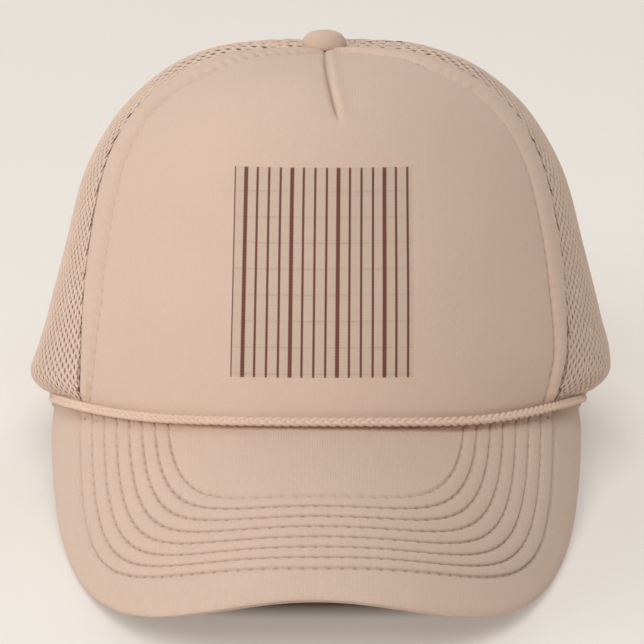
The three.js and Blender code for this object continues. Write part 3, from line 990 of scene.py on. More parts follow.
@dataclass
class FoamPanel:
    """The foam front: its turned edges, their topstitch with its puckers, and the dart at the top."""

    crown: Crown
    shop: Workshop
    finishes: Finishes
    thickness: float = 3.0
    gap: float = 0.3
    fold_reach: float = 18.0
    stitch_pitch: float = 3.9
    dart_depth: float = 1.1
    dart_width: float = 0.95
    flat: float = 0.74
    rows: int = 280
    # the way up, and the turned edge's width there on the left and on the right
    fold_widths: tuple = (
        (0.0, 4.0, 6.5), (0.08, 6.3, 6.2), (0.17, 8.8, 7.4), (0.25, 11.0, 9.0), (0.38, 11.6, 10.5),
        (0.53, 11.6, 11.6), (0.64, 12.6, 13.0), (0.74, 14.0, 13.6), (0.85, 14.2, 11.8), (0.93, 12.0, 8.0),
        (1.0, 6.5, 4.0),
    )

    def __post_init__(self) -> None:
        """Works out the fold's profile, its widths and the way along each stitch line."""
        self.ridge = curve_through([0, 0.05, 0.12, 0.32, 0.62, 0.86, 1.0], [-0.8, -0.1, 0.5, 1.35, 1.3, 0.6, 0.0])
        rows = np.array(self.fold_widths)
        self.fold = {side: curve_through(rows[:, 0], rows[:, i]) for side, i in ((-1, 1), (1, 2))}
        self.ways = np.linspace(0, self.crown.end, 1600)
        self.stitch_way = {
            side: run_length(self.crown.point(self.angle_in(self.ways, self.fold[side](self.ways)), self.ways))
            for side in (-1, 1)
        }
        self.middle_way = run_length(self.crown.point(0.0, self.ways))

    def edge(self, way: np.ndarray) -> np.ndarray:
        """The angle of the panel's edge, clear of the net."""
        seam = self.crown.seam(way)
        return seam - self.gap / 2 / self.crown.radius(seam, way)

    def angle_in(self, way: np.ndarray, inset: np.ndarray) -> np.ndarray:
        """The angle that lies inset millimetres inside the panel's edge."""
        return self.edge(way) - inset / self.crown.radius(self.crown.seam(way), way)

    def angle(self, u: np.ndarray, way: np.ndarray) -> np.ndarray:
        """The angle at u across the panel."""
        edge = self.edge(way)
        inner = np.maximum(self.angle_in(way, self.fold_reach), edge * self.flat)
        out = (np.abs(u) - self.flat) / (1 - self.flat)
        size = np.where(out > 0, lerp(inner, edge, out), inner * np.abs(u) / self.flat)
        return np.sign(u) * size

    def across(self, angle: np.ndarray, way: np.ndarray) -> np.ndarray:
        """The u across the panel at which an angle lies."""
        edge = self.edge(way)
        inner = np.maximum(self.angle_in(way, self.fold_reach), edge * self.flat)
        size = np.abs(angle)
        outer = self.flat + (1 - self.flat) * (size - inner) / (edge - inner)
        return np.sign(angle) * np.where(size > inner, outer, self.flat * size / inner)

    def sewing(self, u: np.ndarray, way: np.ndarray) -> tuple[np.ndarray, np.ndarray, np.ndarray]:
        """Where a place lies by the turned edge.

        Args:
            u: Places across the panel.
            way: Shares of the way up.

        Returns:
            Millimetres inside the panel's edge, the fold's width there, and millimetres along its stitches.
        """
        inset = (self.edge(way) - np.abs(self.angle(u, way))) * self.crown.radius(self.crown.seam(way), way)
        wide = np.where(u < 0, self.fold[-1](way), self.fold[1](way))
        along = [np.interp(way, self.ways, self.stitch_way[side]) for side in (-1, 1)]
        return inset, wide, np.where(u < 0, *along)

    def seam_map(self, u: np.ndarray, way: np.ndarray) -> np.ndarray:
        """How far off the row of stitches a place lies, and how many stitches up."""
        inset, wide, along = self.sewing(u, way)
        return np.stack([(inset - wide) / self.stitch_pitch, along / self.stitch_pitch], -1)

    def relief(self, u: np.ndarray, way: np.ndarray, point: np.ndarray) -> np.ndarray:
        """How far the cloth stands off the plain crown.

        Args:
            u: Places across the panel.
            way: Shares of the way up.
            point: The plain crown's points there.

        Returns:
            Millimetres outwards.
        """
        inset, wide, along = self.sewing(u, way)
        side = np.where(u < 0, -1, 1)
        beat = np.cos(2 * math.pi * along / self.stitch_pitch)
        off = inset - wide
        vary = 0.75 + 0.3 * np.sin(along / 17 + side) + 0.2 * np.sin(along / 6.3 + 2 * side)
        vary = vary * np.where(u < 0, 0.55 + 0.85 * bell(way - 0.66, 0.22), 0.4)
        hole = np.maximum(beat, 0) ** 2
        pucker = -0.8 * hole * bell(off, 0.75)
        pucker -= 0.42 * beat * bell(off + 1.7, 1.3)
        pucker -= 0.16 * beat * bell(off - 2.0, 1.5)
        fold = self.ridge(inset / wide) - 0.85 * bell(off, 0.7) + pucker * vary
        level = smoothstep(way, 0, 0.05)
        top = 1 - smoothstep(way, 0.93, 0.985)
        return level * fold * (0.35 + 0.65 * top) - self.dart(point, way) + self.softness(point)

    def dart(self, point: np.ndarray, way: np.ndarray) -> np.ndarray:
        """The depth of the sewn pinch that runs down from the button, steeper on its left."""
        down = (1 - way) * self.crown.meridian
        line = Dart.drift * (np.maximum(down - Dart.straight, 0) / (Dart.length - Dart.straight)) ** Dart.power
        fade = 1 - smoothstep(down, Dart.length - 9, Dart.length + 1)
        off = point[..., 0] - line
        pinch = self.dart_depth * bell(off, self.dart_width) * smoothstep(down, 2, 30)
        slope = np.where(off < 0, 0.55 * np.exp(-((off / 5.0) ** 2)), 0.55 * np.exp(-((off / 1.2) ** 2)))
        lip = 0.45 * bell(off - 2.4, 1.8)
        return fade * (pinch + slope - lip)

    @staticmethod
    def softness(point: np.ndarray) -> np.ndarray:
        """The foam's faint unevenness."""
        x, y, z = point[..., 0], point[..., 1], point[..., 2]
        waves = np.sin(x / 13 + z / 31 + 1) * np.sin(z / 17 + y / 23) + 0.6 * np.sin(x / 7.5 - z / 12 + 2)
        return 0.16 * waves * smoothstep(z, 8, 30)

    def place(self, u: np.ndarray, way: np.ndarray, rise: float = 0.0) -> np.ndarray:
        """The cloth's surface, rise millimetres above it."""
        angle = self.angle(u, way)
        point = self.crown.point(angle, way)
        return self.crown.raised(angle, way, self.relief(u, way, point) + rise)

    def cloth(self, u: np.ndarray, way: np.ndarray) -> np.ndarray:
        """Millimetres across and up the cloth."""
        x = self.crown.point(self.angle(u, way), way)[..., 0]
        side = 12 * np.clip((np.abs(x) - 30) / 46, 0, 1) ** 2
        return np.stack([x + np.sign(x) * side, np.interp(way, self.ways, self.middle_way)], -1)

    def build(self) -> None:
        """Makes the panel and its topstitch."""
        middle = np.linspace(0, 0.12, 17)
        half = np.concatenate([middle, np.linspace(0.12, self.flat, 22)[1:], np.linspace(self.flat, 1, 35)[1:]])
        us = np.concatenate([-half[:0:-1], half])
        vs = np.linspace(0, self.crown.end, self.rows + 1)
        panel = self.shop.sheet("foam_front", us, vs, self.place, self.cloth, wall=self.thickness)
        panel.modifiers["wall"].material_offset = 1
        self.shop.second_map(panel, SEAM_UV, us, vs, self.seam_map)
        self.shop.deliver(panel, self.finishes.foam, Slot.FOAM_CLOTH, "front_panel")
        panel.data.materials.append(self.finishes.lining)
        self.topstitch()

    def topstitch(self) -> None:
        """Sews the line of stitches inside each turned edge."""
        starts, ends, facing = [], [], []
        for side in (-1, 1):
            line = self.stitch_way[side]
            for i in range(1, int(line[-1] * 0.955 / self.stitch_pitch)):
                way = np.interp(np.array([i + 0.1, i + 0.9]) * self.stitch_pitch, line, self.ways)
                angle = side * self.angle_in(way, self.fold[side](way))
                u = self.across(angle, way)
                points = self.place(u, way, 0.1)
                starts.append(points[0])
                ends.append(points[1])
                facing.append(self.crown.normal(angle[:1], way[:1])[0])
        made = self.shop.stitches("foam_topstitch", *map(np.array, (starts, ends, facing)))
        self.shop.deliver(made, self.finishes.thread, Slot.FOAM_CLOTH)


@dataclass
class NetCell:
    """One cell of the net: a six-sided piece of yarn round a long hole, half of it mirrored below."""

    width: float = 1.95
    height: float = 3.3
    knot: float = 0.5
    hole_width: float = 0.52
    hole_height: float = 1.2
    crest: float = 0.3
    sides: int = 12

    def build(self) -> bpy.types.Mesh:
        """Makes the cell with its outer border on its neighbours' borders.

        Returns:
            A mesh in millimetres, x across, y up, z out.
        """
        cell = bmesh.new()
        bmesh.ops.create_circle(cell, cap_ends=True, segments=self.sides, radius=1.0)
        bmesh.ops.inset_region(cell, faces=cell.faces[:], thickness=0.4, use_boundary=True)
        inner = min(cell.faces, key=lambda f: f.calc_center_median().length + (len(f.verts) == 4))
        bmesh.ops.delete(cell, geom=[inner], context="FACES_ONLY")
        for vert in cell.verts:
            turn = math.atan2(vert.co.y, vert.co.x)
            if vert.co.length > 0.8:
                x, y = self.border(turn)
                vert.co = (x, y, self.crest)
            else:
                wide, tall = self.hole_width / 2, self.hole_height / 2
                vert.co = (wide * math.cos(turn), tall * math.sin(turn), 0.0)
        bmesh.ops.mirror(cell, geom=cell.verts[:] + cell.edges[:] + cell.faces[:], axis="Z", merge_dist=1e-4)
        bmesh.ops.recalc_face_normals(cell, faces=cell.faces[:])
        pattern = bpy.data.meshes.new("net_cell")
        cell.to_mesh(pattern)
        cell.free()
        return pattern

    def border(self, turn: float) -> tuple[float, float]:
        """The six-sided border in the direction of a turn, so that neighbours share their corners."""
        flank = self.width - self.knot
        corners = [
            (flank, 0.0), ((flank + self.knot) / 2, self.height / 4), (self.knot, self.height / 2),
            (0.0, self.height / 2), (-self.knot, self.height / 2),
            (-(flank + self.knot) / 2, self.height / 4), (-flank, 0.0),
            (-(flank + self.knot) / 2, -self.height / 4), (-self.knot, -self.height / 2),
            (0.0, -self.height / 2), (self.knot, -self.height / 2),
            ((flank + self.knot) / 2, -self.height / 4),
        ]
        return corners[int(round(turn / (2 * math.pi) * self.sides)) % self.sides]


@dataclass
class NetPanel:
    """One panel of net between two seams, its yarn cells laid in staggered columns."""

    crown: Crown
    shop: Workshop
    finishes: Finishes
    side: int
    name: str
    node: str
    start: Callable[[np.ndarray], np.ndarray]
    stop: Callable[[np.ndarray], np.ndarray]
    hem: Callable[[np.ndarray], np.ndarray]
    cell: NetCell
    gap: float = 0.3
    depth: float = 0.4

    def build(self) -> None:
        """Makes the panel."""
        ways = np.linspace(0, self.crown.end, 900)
        middle = (self.start(ways) + self.stop(ways)) / 2
        length = run_length(self.crown.point(middle, ways))
        radius = self.crown.radius(middle, ways)
        reach = radius.max() * (self.stop(ways) - self.start(ways)).max() / 2
        columns = np.arange(-math.ceil(reach / self.cell.width), math.ceil(reach / self.cell.width) + 1)
        centres = np.array([
            (c * self.cell.width, (r + 0.5 * (c % 2)) * self.cell.height)
            for c in columns for r in range(int(length[-1] / self.cell.height) + 1)
        ])
        way = np.interp(centres[:, 1], length, ways)
        wide = np.interp(way, ways, radius)
        angle = np.interp(way, ways, middle) + centres[:, 0] / wide
        room = 0.25 * self.cell.width / wide
        inside = (angle > self.start(way) + room) & (angle < self.stop(way) - room)
        inside &= (way > self.hem(angle)) & (centres[:, 1] < length[-1] - 0.6)
        centres = centres[inside]
        pattern = self.cell.build()
        mesh, local = self.shop.copies(self.name, pattern, len(centres))
        bpy.data.meshes.remove(pattern)
        x = centres[:, None, 0] + local[..., 0]
        y = centres[:, None, 1] + local[..., 1]
        way = np.clip(np.interp(y, length, ways), 0, self.crown.end)
        wide = np.interp(way, ways, radius)
        margin = self.gap / 2 / wide
        angle = np.interp(way, ways, middle) + x / wide
        angle = np.clip(angle, self.start(way) + margin, self.stop(way) - margin)
        way = np.maximum(way, np.minimum(self.hem(angle), self.crown.end))
        rise = local[..., 2] - self.depth + self.gather(angle, way)
        points = self.crown.raised(self.side * angle, np.maximum(way, 1e-9), rise)
        mesh.vertices.foreach_set("co", self.shop.placement.to_part(points.reshape(-1, 3)).ravel())
        joined = bmesh.new()
        joined.from_mesh(mesh)
        bmesh.ops.remove_doubles(joined, verts=joined.verts, dist=2e-6)
        bmesh.ops.dissolve_degenerate(joined, dist=1e-7, edges=joined.edges)
        joined.to_mesh(mesh)
        joined.free()
        if self.side < 0:
            mesh.flip_normals()
        panel = self.shop.finish_mesh(mesh)
        self.shop.deliver(panel, self.finishes.net, Slot.NET, self.node)

    def gather(self, angle: np.ndarray, way: np.ndarray) -> np.ndarray:
        """Soft ribs where the net is gathered towards the button, and faint waves below."""
        ribs = 0.3 * np.sin(angle * 26 + self.side) * smoothstep(way, 0.6, 0.85) * (1 - smoothstep(way, 0.95, 1))
        waves = 0.22 * np.sin(angle * 7 + 1.3 * self.side) * np.sin(way * 15)
        puff = (1.9 if self.side < 0 else 1.5) * bell(way - 0.055, 0.04) * bell(angle - 1.5, 0.6)
        behind = smoothstep(angle - self.crown.seam(way), 0.03, 0.35)
        proud = 1.7 * behind * smoothstep(way, 0.5, 0.78) * (1 - smoothstep(way, 0.965, 1.0))
        hem = -0.7 * bell((way - self.crown.way_up(3.4)) * self.crown.meridian, 0.9)
        return ribs + hem + waves * smoothstep(way, 0.03, 0.15) + puff + proud


@dataclass
class Net:
    """The four panels of net, the welts between them and the stitches along their hems."""

    crown: Crown
    shop: Workshop
    finishes: Finishes
    arch: "BackArch"
    welt_half: float = 2.3
    hem_height: float = 4.4
    stitch_pitch: float = 3.2

    def build(self) -> None:
        """Makes the panels, then the welts."""
        rear = lambda way: np.full(np.shape(way), self.crown.rear_seam)
        back = lambda way: np.full(np.shape(way), math.pi)
        level = lambda angle: np.zeros(np.shape(angle))
        cell = NetCell()
        for side, word in ((1, "right"), (-1, "left")):
            NetPanel(self.crown, self.shop, self.finishes, side, f"net_side_{word}",
                     f"mesh_side_{word}", self.crown.seam, rear, level, cell).build()
            NetPanel(self.crown, self.shop, self.finishes, side, f"net_back_{word}",
                     f"mesh_back_{word}", rear, back, self.arch.hem, cell).build()
            self.welt(f"net_welt_{word}", side * self.crown.rear_seam, 0.0)
        self.welt("net_welt_back", math.pi, float(self.arch.way(np.array([0.0]), self.arch.grow)[0]))
        for side, word in ((1, "right"), (-1, "left")):
            self.hem_fold(side, f"net_hem_{word}")
        self.hem_stitches()

    def welt(self, name: str, angle: float, low: float) -> None:
        """The flat raised seam between two panels, with a row of stitches near each edge.

        Args:
            name: The piece's name.
            angle: The seam's angle.
            low: The share of the way up at which it starts.
        """
        def place(u: np.ndarray, way: np.ndarray, lift: float = 0.0) -> np.ndarray:
            """The welt's surface."""
            half = self.welt_half * (1 - 0.55 * smoothstep(way, 0.8, 1.0))
            turned = angle + u * half / self.crown.radius(angle, way)
            crown = 0.55 * (1 - np.abs(u) ** 3) - 0.25 * bell(np.abs(u) - 0.62, 0.16)
            return self.crown.raised(turned, way, crown - 0.25 + lift)

        ways = np.linspace(low, self.crown.end, 90)
        length = run_length(self.crown.point(angle, ways))
        made = self.shop.sheet(
            name, np.linspace(-1, 1, 15), ways, place,
            lambda u, v: np.stack([u * self.welt_half, np.interp(v, ways, length)], -1), wall=0.9)
        self.shop.deliver(made, self.finishes.tape, Slot.NET)
        starts, ends, facing = [], [], []
        for u in (-0.62, 0.62):
            for i in range(1, int(length[-1] * 0.97 / self.stitch_pitch)):
                way = np.interp((np.array([i, i + 0.8])) * self.stitch_pitch, length, ways)
                points = place(np.full(2, u), way, 0.14)
                starts.append(points[0])
                ends.append(points[1])
                facing.append(self.crown.normal(np.array([angle]), way[:1])[0])
        sewn = self.shop.stitches(name + "_stitches", *map(np.array, (starts, ends, facing)))
        self.shop.deliver(sewn, self.finishes.thread, Slot.NET)

    def hem_fold(self, side: int, name: str) -> None:
        """The net's turned-up lower edge on one side, from the foam to the arch.

        Args:
            side: 1 on the right, -1 on the left.
            name: The piece's name.
        """
        seam = float(self.crown.seam(np.array([0.0]))[0]) + 0.004
        angles = np.linspace(seam, math.pi - self.arch.foot_angle - 0.004, 160)
        length = run_length(self.crown.point(angles, 0.0))

        def place(u: np.ndarray, v: np.ndarray) -> np.ndarray:
            """The fold's surface."""
            ribs = 0.12 * np.sin(np.interp(u, angles, length) * 2.1)
            rise = 0.3 + ribs * v - 0.35 * v ** 3 - 0.3 * (1 - v) ** 6
            return self.crown.raised(side * u, self.crown.way_up(self.hem_height * v), rise)

        made = self.shop.sheet(
            name, angles, np.linspace(0, 1, 9), place,
            lambda u, v: np.stack([np.interp(u, angles, length), v * self.hem_height], -1),
            wall=1.1, flip=side < 0)
        self.shop.deliver(made, self.finishes.hem, Slot.NET)

    def hem_stitches(self) -> None:
        """The row of stitches that holds the sweatband, all round above the rim behind the foam."""
        low = self.crown.way_up(3.4)
        angles = np.linspace(math.radians(62), math.pi - self.arch.foot_angle, 2000)
        line = self.crown.point(angles, low)
        way = run_length(line)
        count = int(way[-1] / self.stitch_pitch)
        starts, ends, facing = [], [], []
        for side in (-1, 1):
            for i in range(count):
                at = side * np.interp(np.array([i + 0.1, i + 0.85]) * self.stitch_pitch, way, angles)
                points = self.crown.raised(at, np.full(2, low), 0.1)
                starts.append(points[0])
                ends.append(points[1])
                facing.append(self.crown.normal(at[:1], np.array([low]))[0])
        sewn = self.shop.stitches("hem_stitches", *map(np.array, (starts, ends, facing)), 0.5, 0.5)
        self.shop.deliver(sewn, self.finishes.thread, Slot.NET)


@dataclass
class BackArch:
    """The opening at the back: its bound edge, the strap across it and the strap's pegs."""

    crown: Crown
    shop: Workshop
    finishes: Finishes
    half_width: float = 44.0
    height: float = 47.0
    binding: float = 8.0
    binding_thickness: float = 1.8
    net_thickness: float = 1.2
    clear: float = 0.8
    strap_height: float = 20.0
    strap_thickness: float = 1.6
    strap_overlap: float = 11.0
    strap_lift: float = 1.0

    @property
    def grow(self) -> float:
        """How far outside the opening the net ends."""
        return self.binding + self.clear

    @property
    def foot_angle(self) -> float:
        """The angle from the middle of the back to the binding's outer foot."""
        return (self.half_width + self.binding) / self.crown.rim_back

    @property
    def strap_angle(self) -> float:
        """The angle from the middle of the back to the strap's end."""
        return (self.half_width + self.binding + self.strap_overlap) / self.crown.rim_back

    def way(self, from_back: np.ndarray, grow: np.ndarray) -> np.ndarray:
        """How far up the crown the arch stands at an angle from the middle of the back."""
        half = (self.half_width + grow) / self.crown.rim_back
        along = np.maximum(1 - np.abs(from_back / half) ** 2.2, 0)
        return (self.height + grow) * np.sqrt(along) / self.crown.meridian

    def hem(self, angle: np.ndarray) -> np.ndarray:
        """The net's lower edge at an angle round the hat."""
        return self.way(math.pi - np.abs(angle), self.grow)

    def tape_place(self, u: np.ndarray, v: np.ndarray, rise: float = 0.0) -> np.ndarray:
        """The binding's outer face, v from its inner to its outer edge."""
        turn = u * math.pi
        grow = self.binding * v
        half = (self.half_width + grow) / self.crown.rim_back
        cosine = np.cos(turn)
        from_back = half * np.sign(cosine) * np.abs(cosine) ** 0.91
        way = np.where((u <= 0) | (u >= 1), 0, self.way(from_back, grow))
        proud = (self.binding_thickness - self.net_thickness) / 2
        pillow = 0.35 * (1 - np.abs(2 * v - 1) ** 4) - 0.3 * bell((v - 0.8) * self.binding, 0.7)
        return self.crown.raised(math.pi + from_back, way, proud - 0.25 + pillow + rise)

    def build(self) -> None:
        """Makes the binding, its stitches, the strap and its pegs."""
        us, vs = np.linspace(0, 1, 121), np.linspace(0, 1, 15)
        line = self.tape_place(np.linspace(0, 1, 2001), np.full(2001, 0.8))
        length = run_length(line)

        def cloth(u: np.ndarray, v: np.ndarray) -> np.ndarray:
            """Millimetres across and along the tape."""
            return np.stack([v * self.binding, u * length[-1]], -1)

        tape = self.shop.sheet("arch_tape", us, vs, self.tape_place, cloth, wall=self.binding_thickness, flip=True)
        self.shop.deliver(tape, self.finishes.tape, Slot.TAPE, "arch_binding")
        pitch = 3.2
        at = np.interp(np.arange(1, int(length[-1] / pitch)) * pitch, length, np.linspace(0, 1, 2001))
        reach = 0.38 * pitch / length[-1]
        starts = self.tape_place(at - reach, np.full(len(at), 0.8), 0.15)
        ends = self.tape_place(at + reach, np.full(len(at), 0.8), 0.15)
        angle = np.arctan2(starts[:, 0], -starts[:, 1])
        facing = unit(np.stack([np.sin(angle), -np.cos(angle), np.full(len(at), 0.1)], -1))
        sewn = self.shop.stitches("arch_stitches", starts, ends, facing)
        self.shop.deliver(sewn, self.finishes.thread, Slot.TAPE)
        self.strap()

    def strap_place(self, u: np.ndarray, v: np.ndarray, rise: float = 0.0) -> np.ndarray:
        """The strap's outer face."""
        depth = (self.net_thickness + self.binding_thickness) / 2 + 0.3
        angle = math.pi + self.strap_angle * u
        edge = 0.35 * (1 - np.minimum((1 - np.abs(2 * v - 1)) * self.strap_height / 2, 1.2) / 1.2) ** 2
        point = self.crown.raised(angle, np.zeros_like(u), rise - depth - edge, bulge=False)
        point[..., 2] += self.strap_lift + self.strap_height * v
        return point

    def strap(self) -> None:
        """The moulded strap with its raised rim and a row of pegs."""
        vs = np.concatenate([np.linspace(0, 0.08, 5), np.linspace(0.08, 0.92, 9)[1:], np.linspace(0.92, 1, 5)[1:]])
        length = self.strap_angle * self.crown.rim_back

        def cloth(u: np.ndarray, v: np.ndarray) -> np.ndarray:
            """Millimetres along and up the strap."""
            return np.stack([u * length, v * self.strap_height], -1)

        band = self.shop.sheet(
            "strap_band", np.linspace(-1, 1, 81), vs, self.strap_place, cloth, wall=self.strap_thickness)
        self.shop.deliver(band, self.finishes.strap, Slot.STRAP, "back_strap")
        peg = bmesh.new()
        profile = [(2.3, -0.2), (2.3, 0.35), (2.05, 0.6), (1.0, 0.7), (0.0, 0.72)]
        verts = [peg.verts.new((r, 0, z)) for r, z in profile]
        edges = [peg.edges.new(pair) for pair in zip(verts, verts[1:])]
        bmesh.ops.spin(peg, geom=verts + edges, cent=(0, 0, 0), axis=(0, 0, 1), angle=2 * math.pi,
                       steps=20, use_merge=True)
        bmesh.ops.remove_doubles(peg, verts=peg.verts, dist=1e-4)
        bmesh.ops.recalc_face_normals(peg, faces=peg.faces[:])
        pattern = bpy.data.meshes.new("peg")
        peg.to_mesh(pattern)
        peg.free()
        at = np.linspace(-0.55, 0.55, 9)
        mesh, local = self.shop.copies("strap_pegs", pattern, len(at))
        bpy.data.meshes.remove(pattern)
        middle = self.strap_place(at, np.full(len(at), 0.5))
        out = self.crown.normal(math.pi + self.strap_angle * at, np.zeros(len(at)), False) * (1, 1, 0)
        out = unit(out)
        side = np.cross(out, (0, 0, 1.0))
        points = (middle[:, None] + side[:, None] * local[..., :1] + out[:, None] * local[..., 2:]
                  + np.array([0, 0, 1.0]) * local[..., 1:2])
        mesh.vertices.foreach_set("co", self.shop.placement.to_part(points.reshape(-1, 3)).ravel())
        self.shop.deliver(self.shop.finish_mesh(mesh), self.finishes.strap, Slot.STRAP)


@dataclass
class Sweatband:
    """The cloth band inside the rim, with a sewn upper edge."""

    crown: Crown
    shop: Workshop
    finishes: Finishes
    arch: BackArch
    height: float = 32.0
    thickness: float = 1.5
    lift: float = 0.8
    gap: float = 0.3
    foam: float = 3.7
    net: float = 1.2

    @property
    def end(self) -> float:
        """The angle at which the band stops beside the strap."""
        return math.pi - self.arch.strap_angle - self.gap * 4 / self.crown.rim_back

    def place(self, angle: np.ndarray, v: np.ndarray, rise: float = 0.0) -> np.ndarray:
        """The band's outer face."""
        net = smoothstep(np.abs(angle), math.radians(66), math.radians(84))
        inset = self.gap + lerp(self.foam, self.net, net)
        soft = 0.22 * np.sin(angle * 19) * np.sin(v * 3 + 1) - 0.2 * bell((v - 0.9) * self.height, 0.8)
        point = self.crown.raised(angle, self.crown.way_up(self.height) * v, rise + soft - inset - 0.25, False)
        point[..., 2] += self.lift * (1 - v)
        return point

    def build(self) -> None:
        """Makes the band and the stitches along its upper edge."""
        angles = np.linspace(-self.end, self.end, 241)
        vs = np.linspace(0, 1, 29)
        round_way = run_length(self.place(angles, np.zeros(241)))

        def cloth(angle: np.ndarray, v: np.ndarray) -> np.ndarray:
            """Millimetres round and up the band."""
            return np.stack([np.interp(angle, angles, round_way), v * self.height], -1)

        band = self.shop.sheet("inner_band", angles, vs, self.place, cloth, wall=self.thickness - 0.3)
        self.shop.deliver(band, self.finishes.band, Slot.BAND, "sweatband")
        pitch = 3.4
        at = np.interp(np.arange(1, int(round_way[-1] / pitch)) * pitch, round_way, angles)
        reach = 0.36 * pitch / 92
        inside = 0.12 - self.thickness + 0.3
        starts = self.place(at - reach, np.full(len(at), 0.9), inside - 0.24)
        ends = self.place(at + reach, np.full(len(at), 0.9), inside - 0.24)
        facing = -self.crown.normal(at, np.full(len(at), 0.1), False)
        sewn = self.shop.stitches("band_stitches", starts, ends, facing)
        self.shop.deliver(sewn, self.finishes.thread, Slot.BAND)


@dataclass
class Bill:
    """The stiffened bill: padded channels between eight rows of stitches, and the cloth under it."""

    form: BillForm
    shop: Workshop
    finishes: Finishes
    thickness: float = 3.1
    under_depth: float = 2.9
    under_thickness: float = 0.8
    stitch_pitch: float = 4.0
    rim_radius: float = 1.6
    lean: float = 2.5
    squeeze: float = 0.033
    columns: int = 341

    def __post_init__(self) -> None:
        """Works out the needle holes of each row and the plan of the upper cloth's grid."""
        rows = range(self.form.row_count)
        self.lines = [self.form.row_line(row, self.stitch_pitch) for row in rows]
        self.holes = np.concatenate(self.lines)
        self.plan_x, self.plan_y = self.grid_plan()

    def grid_plan(self) -> tuple[np.ndarray, np.ndarray]:
        """The plan of the upper cloth: lines from the outline in, along every row, to the join.

        Returns:
            x and y, one line of the grid to a row.
        """
        u = np.linspace(-1, 1, self.columns)
        edge = np.stack(self.form.plan(u, np.ones_like(u)), -1)
        last = self.form.row_count - 1
        first = self.form.row_span(0.0, u)
        inner = self.form.row_span(float(last), u)
        reach = np.arctan2(inner[-1, 0] / self.form.crown.rim_half_width, -inner[-1, 1] / self.form.crown.rim_front)
        short = self.form.crown.rim_half_width - self.form.tuck
        long = self.form.crown.rim_front - self.form.tuck
        join = np.stack([short * np.sin(reach * u), -long * np.cos(reach * u)], -1)
        band = 1 - np.cos(np.linspace(0, math.pi / 2, 17)[:-1])
        lines = [lerp(edge, first, t) for t in band]
        within = (0, 0.045, 0.09, 0.15, 0.24, 0.36, 0.5, 0.64, 0.76, 0.85, 0.91, 0.955)
        for row in range(last):
            lines += [self.form.row_span(row + part, u) for part in within]
        lines += [lerp(inner, join, t) for t in np.linspace(0, 1, 25) ** 1.3]
        plan = np.array(lines)
        self.line_rows = np.concatenate([
            3 * (band - 1), [row + part for row in range(last) for part in within],
            last + 12 * np.linspace(0, 1, 25) ** 1.3])
        return plan[..., 0], plan[..., 1]

    def stitch_count(self) -> np.ndarray:
        """How many stitches lie to the left of each point of the grid, on the row it is nearest to."""
        rows = np.clip(np.round(self.line_rows), 0, self.form.row_count - 1).astype(int)
        u = np.linspace(-1, 1, 4001)
        counts = []
        for row, line in enumerate(self.lines):
            span = self.form.row_span(float(row), u)
            at = [u[np.argmin(((span - hole) ** 2).sum(-1))] for hole in line]
            counts.append(np.interp(np.linspace(-1, 1, self.columns), at, np.arange(len(at)), -0.5, -0.5))
        return np.array(counts)[rows]

    def near_hole(self, x: np.ndarray, y: np.ndarray) -> np.ndarray:
        """The distance in plan to the nearest needle hole."""
        nearest = np.full(x.shape, np.inf)
        for hole in self.holes:
            nearest = np.minimum(nearest, (x - hole[0]) ** 2 + (y - hole[1]) ** 2)
        return np.sqrt(nearest)

    def relief(self, x: np.ndarray, y: np.ndarray) -> np.ndarray:
        """How far the sewn cloth stands off the plain bill.

        Args:
            x: Plan places across.
            y: Plan places along.

        Returns:
            Millimetres upwards.
        """
        row = self.form.row_at(x, y)
        last = self.form.row_count - 1
        sewn = smoothstep(row, -0.5, 0.0) * (1 - smoothstep(row, last, last + 0.5))
        between = np.abs(row - np.clip(np.round(row), 0, last))
        shade = 1 + 0.25 * np.clip(x / 60, -1, 1)
        puff = 0.62 * np.sqrt(np.maximum(1 - (1 - 2 * np.clip(between, 0, 0.5)) ** 2, 0)) * sewn * shade
        beyond = 0.45 * (1 - np.exp(-between / 0.25)) * (1 - sewn)
        groove = -0.5 * bell(between, 0.07)
        a, b = self.form.crown.rim_half_width, self.form.crown.rim_front
        off_join = (np.hypot(x / a, y / b) - 1) * b
        clear = smoothstep(off_join, 3.0, 6.5)
        hole = -0.4 * bell(self.near_hole(x, y), 0.65) * clear
        return puff + beyond + groove * lerp(0.5, 1.0, clear) + hole - 0.6 * bell(off_join - 1.0, 0.8)

    def edge_distance(self, x: np.ndarray, y: np.ndarray) -> np.ndarray:
        """Roughly how far a plan point lies inside the outline."""
        w, f = self.form.half_width, self.form.front
        m, n = 2 / self.form.side_power, 2 / self.form.front_power
        sx, sy = np.minimum(np.abs(x) / w, 1), np.minimum(np.abs(y) / f, 1)
        level = 1 - sx ** m - sy ** n
        slope = np.hypot(m * sx ** (m - 1) / w, n * sy ** (n - 1) / f)
        return np.maximum(level, 0) / np.maximum(slope, 1e-6)

    def place(self, u: np.ndarray, v: np.ndarray, rise: float = 0.0) -> np.ndarray:
        """The upper cloth, rolled over at the outline."""
        x, y = self.plan_x[v.astype(int), u.astype(int)], self.plan_y[v.astype(int), u.astype(int)]
        inside = np.minimum(self.edge_distance(x, y), self.rim_radius)
        roll = self.rim_radius - np.sqrt(np.maximum(self.rim_radius ** 2 - (self.rim_radius - inside) ** 2, 0))
        return self.at(x, y, self.relief(x, y) - roll + rise)

    def at(self, x: np.ndarray, y: np.ndarray, rise: np.ndarray) -> np.ndarray:
        """Points over the plan that stand off the plain bill."""
        base = np.stack([x, y, self.form.height(x, y)], -1)
        points = base + self.form.normal(x, y) * np.asarray(rise)[..., None]
        points[..., 0] -= self.lean + self.squeeze * points[..., 0]
        a, b = self.form.crown.rim_half_width, self.form.crown.rim_front
        near = 1 - smoothstep((np.hypot(x / a, y / b) - 1) * b, 1.0, 20.0)
        points[..., 2] += near * hem_lift(np.arctan2(x / a, -y / b))
        return points

